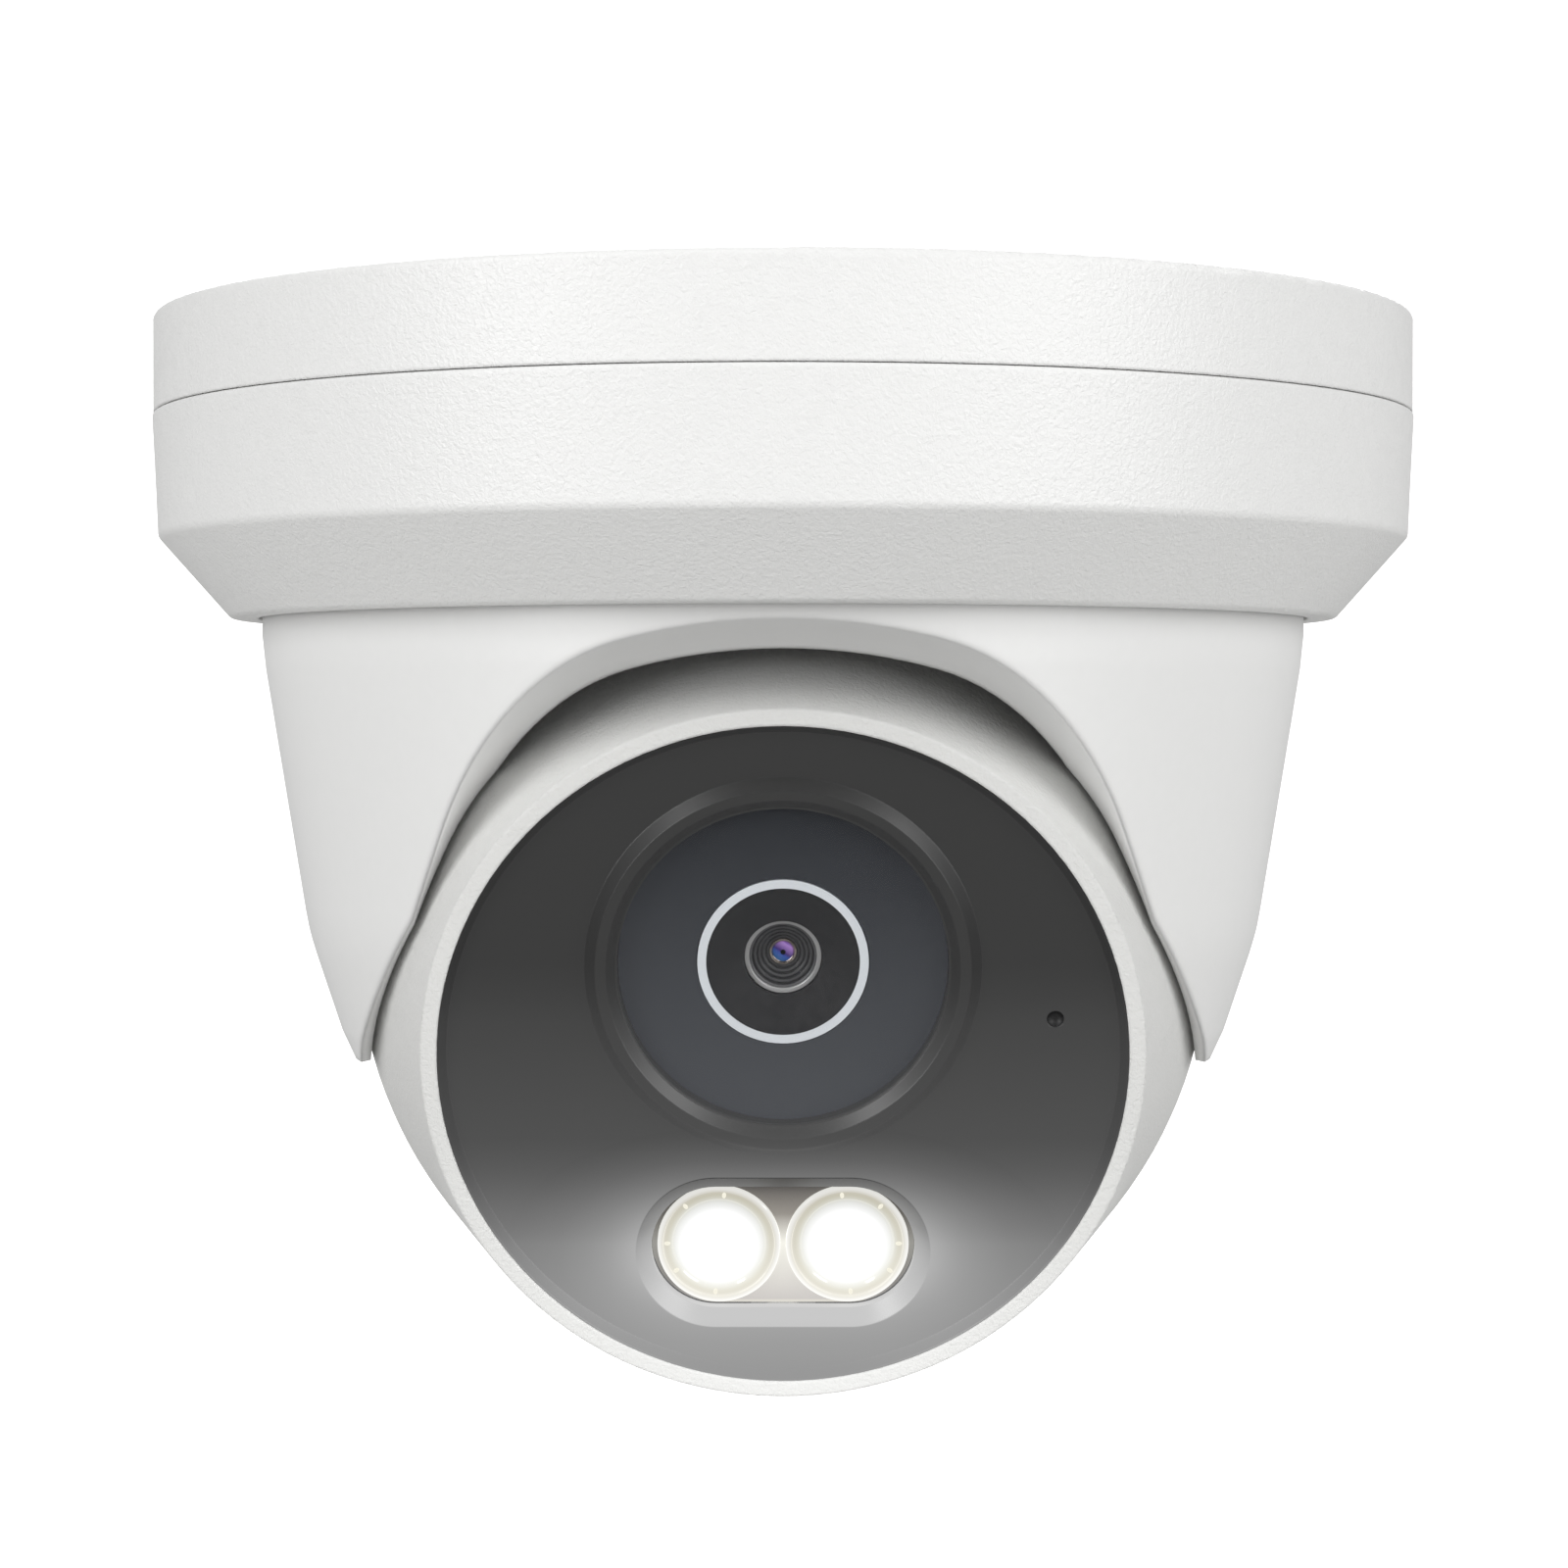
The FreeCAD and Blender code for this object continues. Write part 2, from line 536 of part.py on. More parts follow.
# ---------------------------------------------------------------- ball shells
RETAINER_FRONT = f"(-{YOKE_OUTER} - running_gap)"
RETAINER_BACK = f"({RETAINER_FRONT} - retainer_thickness)"
CAVITY_RADIUS = "(ball_radius - ball_wall)"
LEDGE_REACH = "(cover_face - cover_thickness - cover_seal_thickness)"
SCREW_PLACES = [(f"shell_screw_circle*cos({a})", f"shell_screw_circle*sin({a})")
                for a in (45, 135, 225, 315)]
BRACKET_PLACES = [(f"(bracket_radius - 2.8)*cos({a})", f"(bracket_radius - 2.8)*sin({a})")
                  for a in (20, 160, 270)]


def ball_front_shell():
    """Front casting: nose cone, white rim, seat for the cover, bosses and the seal groove."""
    slab = disc("front_slab", "base_radius", "-shell_split", "rim_reach")
    skin = common("front_skin", nose("front_nose", 0), slab)
    room = sphere("front_room", CAVITY_RADIUS)
    throat = cone("front_throat", f"{CAVITY_RADIUS}*sin({NOSE_TURN})", "ledge_radius",
                  f"{CAVITY_RADIUS}*cos({NOSE_TURN})", f"{LEDGE_REACH}")
    below_ledge = disc("below_ledge", "base_radius", "-shell_split - 1", LEDGE_REACH)
    cavity = common("front_cavity", fuse("front_hollow", room, throat), below_ledge)
    seat = disc("cover_seat", "cover_radius + cover_fit", LEDGE_REACH, "rim_reach + 1")
    bosses = [disc(f"front_boss_{i}", "shell_boss", "-shell_split", "2.5", x, y)
              for i, (x, y) in enumerate(SCREW_PLACES)]
    posts = [disc(f"bracket_post_{i}", "2.8", "bracket_front", "bracket_front + 5", x, y)
             for i, (x, y) in enumerate(BRACKET_PLACES)]
    inside = common("front_inside", fuse("front_lugs", *bosses, *posts), nose("front_limit", -0.4))
    groove = seal_groove("front_groove")
    holes = [disc(f"front_hole_{i}", "shell_screw_size/2", "-shell_split - 1", "1.5", x, y)
             for i, (x, y) in enumerate(SCREW_PLACES)]
    taps = [disc(f"post_hole_{i}", "1", "bracket_front - 1", "bracket_front + 4", x, y)
            for i, (x, y) in enumerate(BRACKET_PLACES)]
    shell = fuse("front_shell", cut("front_walls", skin, cavity, seat), inside)
    return node(in_ball(cut("front_done", shell, groove, *holes, *taps)), "ball_front_shell")


def seal_groove(name):
    """Room for the O-ring in the front shell's joint face."""
    return tube(name, "seal_radius + seal_cord/2", "seal_radius - seal_cord/2",
                "-shell_split - 1", "-shell_split + seal_cord")


def ball_rear_shell():
    """Rear casting with counterbored screw bosses and a hollow neck for the cable."""
    skin = common("rear_skin", sphere("rear_ball", "ball_radius"),
                  disc("rear_slab", "base_radius", "-base_radius", "-shell_split"))
    room = sphere("rear_room", CAVITY_RADIUS)
    bosses = [disc(f"rear_boss_{i}", "shell_boss", "-shell_head_depth - 4", "-shell_split", x, y)
              for i, (x, y) in enumerate(SCREW_PLACES)]
    lugs = common("rear_lugs", fuse("rear_bosses", *bosses), sphere("rear_limit", "ball_radius - 0.4"))
    neck = disc("rear_neck", "neck_outer", RETAINER_BACK + " - 0.15", "-ball_radius + 3")
    recess = tube("neck_groove", "neck_outer + 1", "neck_outer - 0.8", RETAINER_BACK, RETAINER_FRONT)
    bore = disc("neck_hole", "neck_bore", "-base_radius", "-ball_radius + 4")
    holes = [disc(f"rear_hole_{i}", "shell_screw_size/2", "-base_radius", "0", x, y)
             for i, (x, y) in enumerate(SCREW_PLACES)]
    sinks = [disc(f"rear_sink_{i}", "shell_head_size/2 + 0.1", "-base_radius",
                  "-shell_head_depth", x, y) for i, (x, y) in enumerate(SCREW_PLACES)]
    shell = fuse("rear_shell", cut("rear_walls", skin, room), lugs, neck)
    return node(in_ball(cut("rear_done", shell, recess, bore, *holes, *sinks)), "ball_rear_shell")


def retaining_ring():
    return node(in_ball(tube("snap_ring", "retainer_outer", "neck_outer - 0.8",
                             RETAINER_BACK, RETAINER_FRONT)), "retaining_ring")


def shell_seal():
    return node(in_ball(tube("o_ring", "seal_radius + seal_cord/2", "seal_radius - seal_cord/2",
                             "-shell_split", "-shell_split + seal_cord")), "shell_seal")


def screw(name, size, head, head_high, under_head, tip, x, y):
    """Screw along the lens axis, its head below under_head and its shank up to tip."""
    return fuse(name, disc(name + "_head", head, f"{under_head} - {head_high}", under_head, x, y),
                disc(name + "_shank", size, under_head, tip, x, y))


def shell_screws():
    screws = [screw(f"shell_screw_{i}", "shell_screw_size/2", "shell_head_size/2", "1.6",
                    "-shell_head_depth", "1", x, y) for i, (x, y) in enumerate(SCREW_PLACES)]
    return node(in_ball(group("shell_screw_set", *screws)), "shell_screws")


# ---------------------------------------------------------------- front cover and window
COVER_BACK = "(cover_face - cover_thickness)"


def pill(name, ends, radius, low, high, height="-lamp_height"):
    """Slot-shaped prism across the cover at the lamps' height."""
    return fuse(name, block(name + "_middle", ends, f"2*({radius})", low, high, y=height),
                disc(name + "_left", radius, low, high, f"-({ends})/2", height),
                disc(name + "_right", radius, low, high, f"({ends})/2", height))


def bevel(name, ends, low_radius, high_radius, low, high):
    """Slot-shaped countersink: two cones and the sloping walls between them."""
    wedge = doc.addObject("Part::Wedge", name + "_middle")
    for prop, text in (("Xmin", "0"), ("Xmax", ends), ("X2min", "0"), ("X2max", ends),
                       ("Ymin", "0"), ("Ymax", f"({high}) - ({low})"),
                       ("Zmin", f"-({low_radius})"), ("Zmax", low_radius),
                       ("Z2min", f"-({high_radius})"), ("Z2max", high_radius)):
        wedge.setExpression(prop, ex(text))
    place(wedge, f"-({ends})/2", "-lamp_height", low, axis=(1, 0, 0), angle=90)
    return fuse(name, wedge,
                cone(name + "_left", low_radius, high_radius, low, high, f"-({ends})/2",
                     "-lamp_height"),
                cone(name + "_right", low_radius, high_radius, low, high, f"({ends})/2",
                     "-lamp_height"))


def front_cover():
    """Dished dark cover with the raised window ring, the bevelled lamp slot and the mic hole."""
    dish = turned("cover_dish", [
        ("0", COVER_BACK), ("cover_radius", COVER_BACK), ("cover_radius", "rim_reach - 0.02"),
        ("dish_radius", "cover_face"), ("0", "cover_face")])
    collar = turned("window_collar", [
        ("window_opening", COVER_BACK), ("window_foot", COVER_BACK), ("window_foot", "cover_face"),
        ("crest_outer", "crest_outer_reach"), ("crest_inner", "crest_inner_reach"),
        ("window_opening", "window_edge_reach")])
    place(collar, y="lens_height")
    opening = disc("window_hole", "window_opening", f"{COVER_BACK} - 1", "cover_face + 2",
                   y="lens_height")
    slot = pill("lamp_slot", "lamp_slot_ends", "lamp_slot_radius", f"{COVER_BACK} - 1", "cover_face")
    sink = bevel("lamp_bevel_cut", "lamp_slot_ends", "lamp_slot_radius - 0.3",
                 "lamp_slot_radius + lamp_bevel + 0.3", "cover_face - lamp_bevel - 0.3",
                 "cover_face + 0.3")
    mic = disc("mic_bore", "mic_hole/2", f"{COVER_BACK} - 1", "cover_face + 1", "mic_side",
               "mic_height")
    plate = cut("cover_plate", dish, opening)
    return node(in_ball(cut("cover_done", fuse("cover_whole", plate, collar), slot, sink, mic)),
                "front_cover")


def cover_seal():
    return node(in_ball(tube("cover_seal_ring", "cover_radius - 0.1", "ledge_radius + 0.3",
                             LEDGE_REACH, COVER_BACK)), "cover_seal")


WINDOW_FRONT = "(window_edge_reach - window_sink)"
WINDOW_BACK = f"({WINDOW_FRONT} - window_thickness)"


def lens_window():
    return node(in_ball(disc("window_glass", "window_opening - 0.04", WINDOW_BACK, WINDOW_FRONT,
                             y="lens_height")), "lens_window")


def lens_baffle():
    """Funnel-shaped light shield behind the window, clamped under the cover by its flange."""
    funnel = turned("baffle_funnel", [
        ("baffle_inner", "baffle_inner_reach"), ("window_opening - 0.06", WINDOW_BACK),
        ("window_opening - 0.06", COVER_BACK), ("window_foot - 0.4", COVER_BACK),
        ("window_foot - 0.4", f"{COVER_BACK} - baffle_thickness"),
        ("baffle_inner", f"{COVER_BACK} - baffle_thickness")])
    return node(in_ball(funnel, "lens_height"), "lens_baffle")


# ---------------------------------------------------------------- lens
def lens_part(obj, name):
    """Finish a piece that is drawn about the optical axis."""
    return node(in_ball(obj, "lens_height"), name)


def lens_barrel():
    """Black barrel: threaded body, wide head, tapered mouth, and a bore for the elements."""
    return lens_part(turned("barrel", [
        ("4.6", "lens_back"), ("lens_thread_radius", "lens_back"),
        ("lens_thread_radius", "lens_head_back"), ("lens_head_radius", "lens_head_back"),
        ("lens_head_radius", "lens_ring_front - 1.6"),
        ("lens_head_radius - lens_ring_width", "lens_ring_front - 1.6"),
        ("lens_head_radius - lens_ring_width", "lens_ring_front"),
        ("lens_eye", "lens_front"), ("lens_eye", "lens_front - 3"), ("4.6", "lens_front - 5")]),
        "lens_barrel")


def lens_trim_ring():
    return lens_part(tube("bright_ring", "lens_head_radius", "lens_head_radius - lens_ring_width",
                          "lens_ring_front - 1.6", "lens_ring_front + 0.05"), "lens_trim_ring")


def front_lens():
    """Small domed front element, seated in the barrel's mouth."""
    glass = common("front_glass", disc("front_glass_disc", "lens_eye", "lens_front - 2.6",
                                       "lens_front"),
                   sphere("front_glass_dome", "7", "lens_front - 7.6"))
    return lens_part(glass, "front_lens")


def inner_lenses():
    """Three glass elements stacked behind the front one."""
    elements = [disc(f"element_{i}", "4.6", f"lens_back + {low}", f"lens_back + {high}")
                for i, (low, high) in enumerate(((0.5, 2.5), (4.5, 6.5), (8.5, 10.5)))]
    return node(in_ball(group("element_set", *elements), "lens_height"), "inner_lenses")


def lens_holder():
    """Square-footed holder on the sensor board, bored for the barrel's thread."""
    tower = disc("holder_tower", "holder_radius", "sensor_board_front", "lens_back + 6",
                 y="lens_height")
    foot = block("holder_foot", "24", "17.5", f"{BRACKET_BACK} - 1.4", BRACKET_BACK,
                 y="lens_height")
    bore = disc("holder_bore", "lens_thread_radius", "sensor_board_front - 1", "lens_back + 7",
                y="lens_height")
    return node(in_ball(cut("holder_done", fuse("holder_whole", tower, foot), bore)), "lens_holder")


# ---------------------------------------------------------------- bracket, boards and fixings
BRACKET_BACK = "(bracket_front - bracket_thickness)"
MAIN_BACK = "(main_board_front - board_thickness)"
STANDOFFS = [(f"standoff_circle*cos({a})", f"standoff_circle*sin({a})") for a in (45, 135, 225, 315)]


def inner_bracket():
    """Aluminium plate across the front shell, with a hole for the lens."""
    plate = disc("bracket_plate", "bracket_radius", BRACKET_BACK, "bracket_front")
    window = disc("bracket_window", "holder_radius + 0.3", "0", "base_radius", y="lens_height")
    holes = [disc(f"bracket_hole_{i}", "1", "0", "base_radius", x, y)
             for i, (x, y) in enumerate(BRACKET_PLACES)]
    return node(in_ball(cut("bracket_done", plate, window, *holes)), "inner_bracket")


def bracket_screws():
    screws = [screw(f"bracket_screw_{i}", "1", "1.9", "1.3", BRACKET_BACK, "bracket_front + 3.5",
                    x, y) for i, (x, y) in enumerate(BRACKET_PLACES)]
    return node(in_ball(group("bracket_screw_set", *screws)), "bracket_screws")


def board_standoffs():
    posts = [tube(f"standoff_{i}", "standoff_radius", "1", "main_board_front", BRACKET_BACK, x, y)
             for i, (x, y) in enumerate(STANDOFFS)]
    return node(in_ball(group("standoff_set", *posts)), "board_standoffs")


def board_screws():
    screws = [screw(f"board_screw_{i}", "1", "1.9", "1.3", MAIN_BACK, "main_board_front + 4", x, y)
              for i, (x, y) in enumerate(STANDOFFS)]
    return node(in_ball(group("board_screw_set", *screws)), "board_screws")


def sensor_board():
    return node(in_ball(block("imager_board", "sensor_board_size", "sensor_board_size",
                              "sensor_board_front - board_thickness", "sensor_board_front",
                              y="lens_height")), "sensor_board")


def image_sensor():
    return node(in_ball(block("imager", "8", "6", "sensor_board_front", "sensor_front",
                              y="lens_height")), "image_sensor")


def board_link():
    return node(in_ball(block("stack_plug", "16", "4", "main_board_front",
                              "sensor_board_front - board_thickness", y="lens_height - 8")),
                "board_link")


def main_board():
    plate = disc("main_plate", "main_board_radius", MAIN_BACK, "main_board_front")
    holes = [disc(f"main_hole_{i}", "1", "-5", "5", x, y) for i, (x, y) in enumerate(STANDOFFS)]
    return node(in_ball(cut("main_done", plate, *holes)), "main_board")


def processor():
    return node(in_ball(block("processor_chip", "12", "12", f"{MAIN_BACK} - 1.2", MAIN_BACK)),
                "processor")


def memory_chips():
    chips = [block(f"memory_{side}", "8", "10", f"{MAIN_BACK} - 1", MAIN_BACK, x=17 * sign)
             for side, sign in SIDES]
    return node(in_ball(group("memory_set", *chips)), "memory_chips")


def cable_header():
    """Plug socket for the network and power cable, with its pin cavity."""
    shell = block("header_shell", "13", "6", f"{MAIN_BACK} - 6", MAIN_BACK, y=-19)
    cavity = block("header_cavity", "11", "4", f"{MAIN_BACK} - 7", f"{MAIN_BACK} - 1.5", y=-19)
    return node(in_ball(cut("header_done", shell, cavity)), "cable_header")


def heat_sink():
    """Finned block on the processor."""
    top = f"{MAIN_BACK} - 1.2"
    plate = block("sink_plate", "22", "22", f"{top} - 2", top)
    fins = [block(f"sink_fin_{i}", "1.2", "22", f"{top} - 9", f"{top} - 1.9", x=-10.4 + 4.16 * i)
            for i in range(6)]
    return node(in_ball(fuse("sink_done", plate, *fins)), "heat_sink")


# ---------------------------------------------------------------- lamps and microphone
LAMPS = (("left", "-lamp_spacing/2"), ("right", "lamp_spacing/2"))
LAMP_BOARD_BACK = "(lamp_board_front - lamp_board_thickness)"
CHIP_FRONT = "(lamp_board_front + 0.6)"
LENS_FLANGE_BACK = "(lamp_lens_front - lamp_lens_flange)"


def led_block():
    """Aluminium pillar that carries the lamp board and takes its heat."""
    return node(in_ball(block("lamp_pillar", "18", "9", "bracket_front", LAMP_BOARD_BACK,
                              y="-lamp_height")), "led_block")


def led_board():
    return node(in_ball(pill("lamp_board", "lamp_slot_ends", "lamp_slot_radius + 0.9",
                             LAMP_BOARD_BACK, "lamp_board_front")), "led_board")


def led_chips():
    chips = [block(f"chip_{side}", "3.4", "3.4", "lamp_board_front", CHIP_FRONT, x, "-lamp_height")
             for side, x in LAMPS]
    return node(in_ball(group("chip_set", *chips)), "led_chips")


def lamp_lens(name, grow, x):
    """Collimating lens: a cone that widens to a flat round flange."""
    body = cone(name + "_cone", f"2 + {grow}", f"lamp_lens_radius - 0.45 + {grow}",
                f"{CHIP_FRONT} + 0.05", LENS_FLANGE_BACK, x, "-lamp_height")
    flange = disc(name + "_flange", f"lamp_lens_radius + {grow}", LENS_FLANGE_BACK,
                  f"lamp_lens_front + {grow}", x, "-lamp_height")
    return fuse(name, body, flange)


def led_lenses():
    lenses = [lamp_lens(f"lamp_lens_{side}", "0", x) for side, x in LAMPS]
    return node(in_ball(group("lamp_lens_set", *lenses)), "led_lenses")


def led_holder():
    """Pill-shaped carrier in the cover's slot that locates both lamp lenses over their chips."""
    body = pill("holder_pill", "lamp_slot_ends", "lamp_slot_radius - 0.05", "lamp_board_front",
                "lamp_lens_front - 0.5")
    pockets = [lamp_lens(f"lamp_pocket_{side}", "0.02", x) for side, x in LAMPS]
    wells = [disc(f"chip_well_{side}", "2.6", "lamp_board_front - 1", f"{CHIP_FRONT} + 0.1", x,
                  "-lamp_height") for side, x in LAMPS]
    return node(in_ball(cut("holder_pill_done", body, *pockets, *wells)), "led_holder")


def microphone():
    return node(in_ball(disc("mic_can", "2.9", f"{COVER_BACK} - 2.8", f"{COVER_BACK} - 0.6",
                             "mic_side", "mic_height")), "microphone")


def mic_seal():
    return node(in_ball(tube("mic_gasket", "3.2", "1.1", f"{COVER_BACK} - 0.6", COVER_BACK,
                             "mic_side", "mic_height")), "mic_seal")


for build in (mounting_base, ceiling_gasket, cable_grommet, pan_washer, trim_ring, ring_washer,
              lock_screw, shroud, tilt_pins, tilt_yoke, roll_washer, ball_front_shell,
              ball_rear_shell, retaining_ring, shell_seal, shell_screws, front_cover, cover_seal,
              lens_window, lens_baffle, lens_barrel, lens_trim_ring, front_lens, inner_lenses,
              lens_holder, image_sensor, sensor_board, board_link, main_board, processor,
              memory_chips, cable_header, heat_sink, inner_bracket, bracket_screws,
              board_standoffs, board_screws, led_block, led_board, led_chips, led_holder,
              led_lenses, microphone, mic_seal):
    build()
doc.recompute()

# ---------------------------------------------------------------- check and write
for obj in doc.Objects:
    if {"Invalid", "Error"} & set(obj.State):
        raise RuntimeError(f"{obj.Label} failed: {obj.State}")
os.makedirs("parts", exist_ok=True)
for obj in NODES:
    shape = obj.Shape
    if shape.isNull() or not shape.isValid() or not shape.Solids:
        raise RuntimeError(obj.Label + " has no valid solid")
    shape.exportStep(f"parts/{obj.Label}.step")
    print(f"{obj.Label:18} solids {len(shape.Solids)} volume {shape.Volume:10.1f}")
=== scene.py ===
import json
import math

import bmesh
import bpy
from mathutils import Matrix, Vector


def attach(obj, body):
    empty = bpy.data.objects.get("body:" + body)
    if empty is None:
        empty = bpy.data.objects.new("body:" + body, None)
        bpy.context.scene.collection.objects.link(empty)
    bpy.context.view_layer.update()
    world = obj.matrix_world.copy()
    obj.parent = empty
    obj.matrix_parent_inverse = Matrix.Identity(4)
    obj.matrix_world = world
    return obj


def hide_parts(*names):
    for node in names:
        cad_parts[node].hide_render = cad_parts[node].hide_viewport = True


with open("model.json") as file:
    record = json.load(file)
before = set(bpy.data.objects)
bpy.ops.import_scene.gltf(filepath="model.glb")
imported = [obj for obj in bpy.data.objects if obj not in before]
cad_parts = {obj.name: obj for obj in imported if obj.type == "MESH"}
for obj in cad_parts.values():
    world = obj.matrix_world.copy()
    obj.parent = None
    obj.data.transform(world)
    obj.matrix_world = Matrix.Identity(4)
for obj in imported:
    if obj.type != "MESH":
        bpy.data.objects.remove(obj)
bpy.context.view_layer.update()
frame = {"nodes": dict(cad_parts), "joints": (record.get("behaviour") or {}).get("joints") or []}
nodes = frame["nodes"]
MM = 0.001


# ------------------------------------------------------------ mounting base and bayonet lugs
# Aluminium die casting, blasted and powder coated white. The coat cures into a fine leathery
# orange peel, so its shine breaks up into soft sparkle instead of a clean streak.
def linear(code):
    """Linear RGBA for an sRGB hex code."""
    parts = [int(code[i:i + 2], 16) / 255 for i in (1, 3, 5)]
    return [p / 12.92 if p <= 0.04045 else ((p + 0.055) / 1.055) ** 2.4 for p in parts] + [1]


def put(tree, kind, inputs=None, stops=(), soft=False, **fields):
    """Adds one node: sets its fields, sets or links its inputs, and places a ramp's stops.

    The first two stops are the ramp's two ends, and the rest lie between them."""
    node = tree.nodes.new(kind)
    for field, value in fields.items():
        setattr(node, field, value)
    for socket, value in (inputs or {}).items():
        if isinstance(value, bpy.types.Node):
            value = value.outputs[0]
        if isinstance(value, bpy.types.NodeSocket):
            tree.links.new(value, node.inputs[socket])
        else:
            node.inputs[socket].default_value = value
    if stops:
        node.color_ramp.interpolation = "B_SPLINE" if soft else "LINEAR"
        marks = node.color_ramp.elements
        for number, (at, colour) in enumerate(stops):
            mark = marks[number] if number < len(marks) else marks.new(1.0)
            mark.position = at
            mark.color = colour
    return node


def surface(name, colour, roughness, **sockets):
    """A new material, returned with its node tree and its shader."""
    material = bpy.data.materials.new(name)
    material.use_nodes = True
    shader = material.node_tree.nodes["Principled BSDF"]
    shader.inputs["Base Color"].default_value = linear(colour)
    shader.inputs["Roughness"].default_value = roughness
    for socket, value in sockets.items():
        shader.inputs[socket.replace("_", " ")].default_value = value
    return material, material.node_tree, shader


def dress(material, *names):
    """Gives the material to CAD nodes."""
    for name in names:
        nodes[name].data.materials.clear()
        nodes[name].data.materials.append(material)


def grained(tree, shader, grain, depth, strength, edge=0.0):
    """Wrinkled skin with grains of this size and depth in metres, and edges softened by a radius.

    Returns its fine and its coarse pattern."""
    place = put(tree, "ShaderNodeTexCoord")
    fine = put(tree, "ShaderNodeTexNoise", {
        "Vector": place.outputs["Object"], "Scale": 1 / grain, "Detail": 2.0,
        "Roughness": 0.55, "Distortion": 0.6})
    coarse = put(tree, "ShaderNodeTexNoise", {
        "Vector": place.outputs["Object"], "Scale": 0.3 / grain, "Detail": 1.0, "Distortion": 0.3})
    height = put(tree, "ShaderNodeMath", {
        0: coarse.outputs["Fac"], 1: 0.15, 2: fine.outputs["Fac"]}, operation="MULTIPLY_ADD")
    bump = put(tree, "ShaderNodeBump", {
        "Height": height.outputs[0], "Strength": strength, "Distance": depth})
    if edge:
        soft = put(tree, "ShaderNodeBevel", {"Radius": edge}, samples=6)
        tree.links.new(soft.outputs["Normal"], bump.inputs["Normal"])
    tree.links.new(bump.outputs["Normal"], shader.inputs["Normal"])
    return fine.outputs["Fac"], coarse.outputs["Fac"]


def mottled(tree, shader, pattern, dark, light, low, high):
    """Colour and shine that wander between two colours and two roughnesses with a pattern."""
    blend = put(tree, "ShaderNodeMix", {
        0: pattern, 6: linear(dark), 7: linear(light)}, data_type="RGBA")
    shine = put(tree, "ShaderNodeMapRange", {
        "Value": pattern, "From Min": 0.3, "From Max": 0.7, "To Min": low, "To Max": high})
    tree.links.new(blend.outputs[2], shader.inputs["Base Color"])
    tree.links.new(shine.outputs[0], shader.inputs["Roughness"])


COAT_GRAIN = 0.36 * MM          # drawn a little coarser than the usual 0.3 mm so that it shows
COAT_DEPTH = 0.09 * MM


def powder_coat(name, dark, light):
    """Cured powder coat on blasted aluminium, between two whites."""
    coat, tree, shader = surface(name, light, 0.4)
    _, coarse = grained(tree, shader, COAT_GRAIN, COAT_DEPTH, 0.9, edge=0.4 * MM)
    mottled(tree, shader, coarse, dark, light, 0.34, 0.42)
    return coat


white_coat = powder_coat("aluminium_powder_coated_white", "#E9E9E8", "#ECECEB")
dress(white_coat, "mounting_base")


# ------------------------------------------------------------ ceiling gasket, grommet, washers
# Closed-cell foam ring glued under the base's edge, a rubber grommet pressed into the cable
# hole, and slippery nylon washers that the shroud, the trim ring and the ball turn on.
foam, tree, shader = surface("foam_closed_cell_black", "#222223", 0.85)
place = put(tree, "ShaderNodeTexCoord")
cells = put(tree, "ShaderNodeTexVoronoi", {
    "Vector": place.outputs["Object"], "Scale": 1 / (0.5 * MM)}, feature="SMOOTH_F1")
pores = put(tree, "ShaderNodeBump", {
    "Height": cells.outputs["Distance"], "Strength": 0.6, "Distance": 0.1 * MM})
tree.links.new(pores.outputs["Normal"], shader.inputs["Normal"])
dress(foam, "ceiling_gasket")

rubber, tree, shader = surface("rubber_moulded_black", "#1B1B1C", 0.6)
_, coarse = grained(tree, shader, 0.3 * MM, 0.02 * MM, 0.3)
mottled(tree, shader, coarse, "#171718", "#242425", 0.5, 0.7)
dress(rubber, "cable_grommet", "shell_seal", "cover_seal", "mic_seal")

nylon, tree, shader = surface("nylon_stamped_natural", "#DADACF", 0.4)
_, coarse = grained(tree, shader, 0.8 * MM, 0.01 * MM, 0.2)
mottled(tree, shader, coarse, "#CFCFC4", "#DFDFD6", 0.34, 0.48)
dress(nylon, "pan_washer", "ring_washer", "roll_washer", "cable_header")


# ------------------------------------------------------------ trim ring and its lock screw
# The ring is cast and coated like the base and twists on over three lugs. A stainless grub
# screw at the back locks it; its turned end carries fine rings from the lathe.
dress(white_coat, "trim_ring")

steel, tree, shader = surface("stainless_steel_turned", "#B9B8B5", 0.3, Metallic=1.0)
place = put(tree, "ShaderNodeTexCoord")
lay = put(tree, "ShaderNodeMapping", {
    "Vector": place.outputs["Object"], "Scale": (300.0, 300.0, 4000.0)})
lines = put(tree, "ShaderNodeTexNoise", {"Vector": lay.outputs[0], "Scale": 1.0, "Detail": 3.0})
mottled(tree, shader, lines.outputs["Fac"], "#A8A7A4", "#C6C5C2", 0.24, 0.4)
scratch = put(tree, "ShaderNodeBump", {
    "Height": lines.outputs["Fac"], "Strength": 0.15, "Distance": 0.01 * MM})
tree.links.new(scratch.outputs["Normal"], shader.inputs["Normal"])
dress(steel, "lock_screw", "tilt_pins", "tilt_yoke", "retaining_ring", "shell_screws",
      "bracket_screws", "board_screws", "microphone")


# ------------------------------------------------------------ shroud
# Polycarbonate moulded in white, with a very fine satin skin and generously rounded edges.
# It is smoother than the coated castings, so it shades in long even gradients.
satin, tree, shader = surface("polycarbonate_moulded_white", "#EAEAE8", 0.4)
_, coarse = grained(tree, shader, 0.3 * MM, 0.012 * MM, 0.2, edge=1.0 * MM)
mottled(tree, shader, coarse, "#EAEAE9", "#ECECEB", 0.38, 0.42)
dress(satin, "shroud")


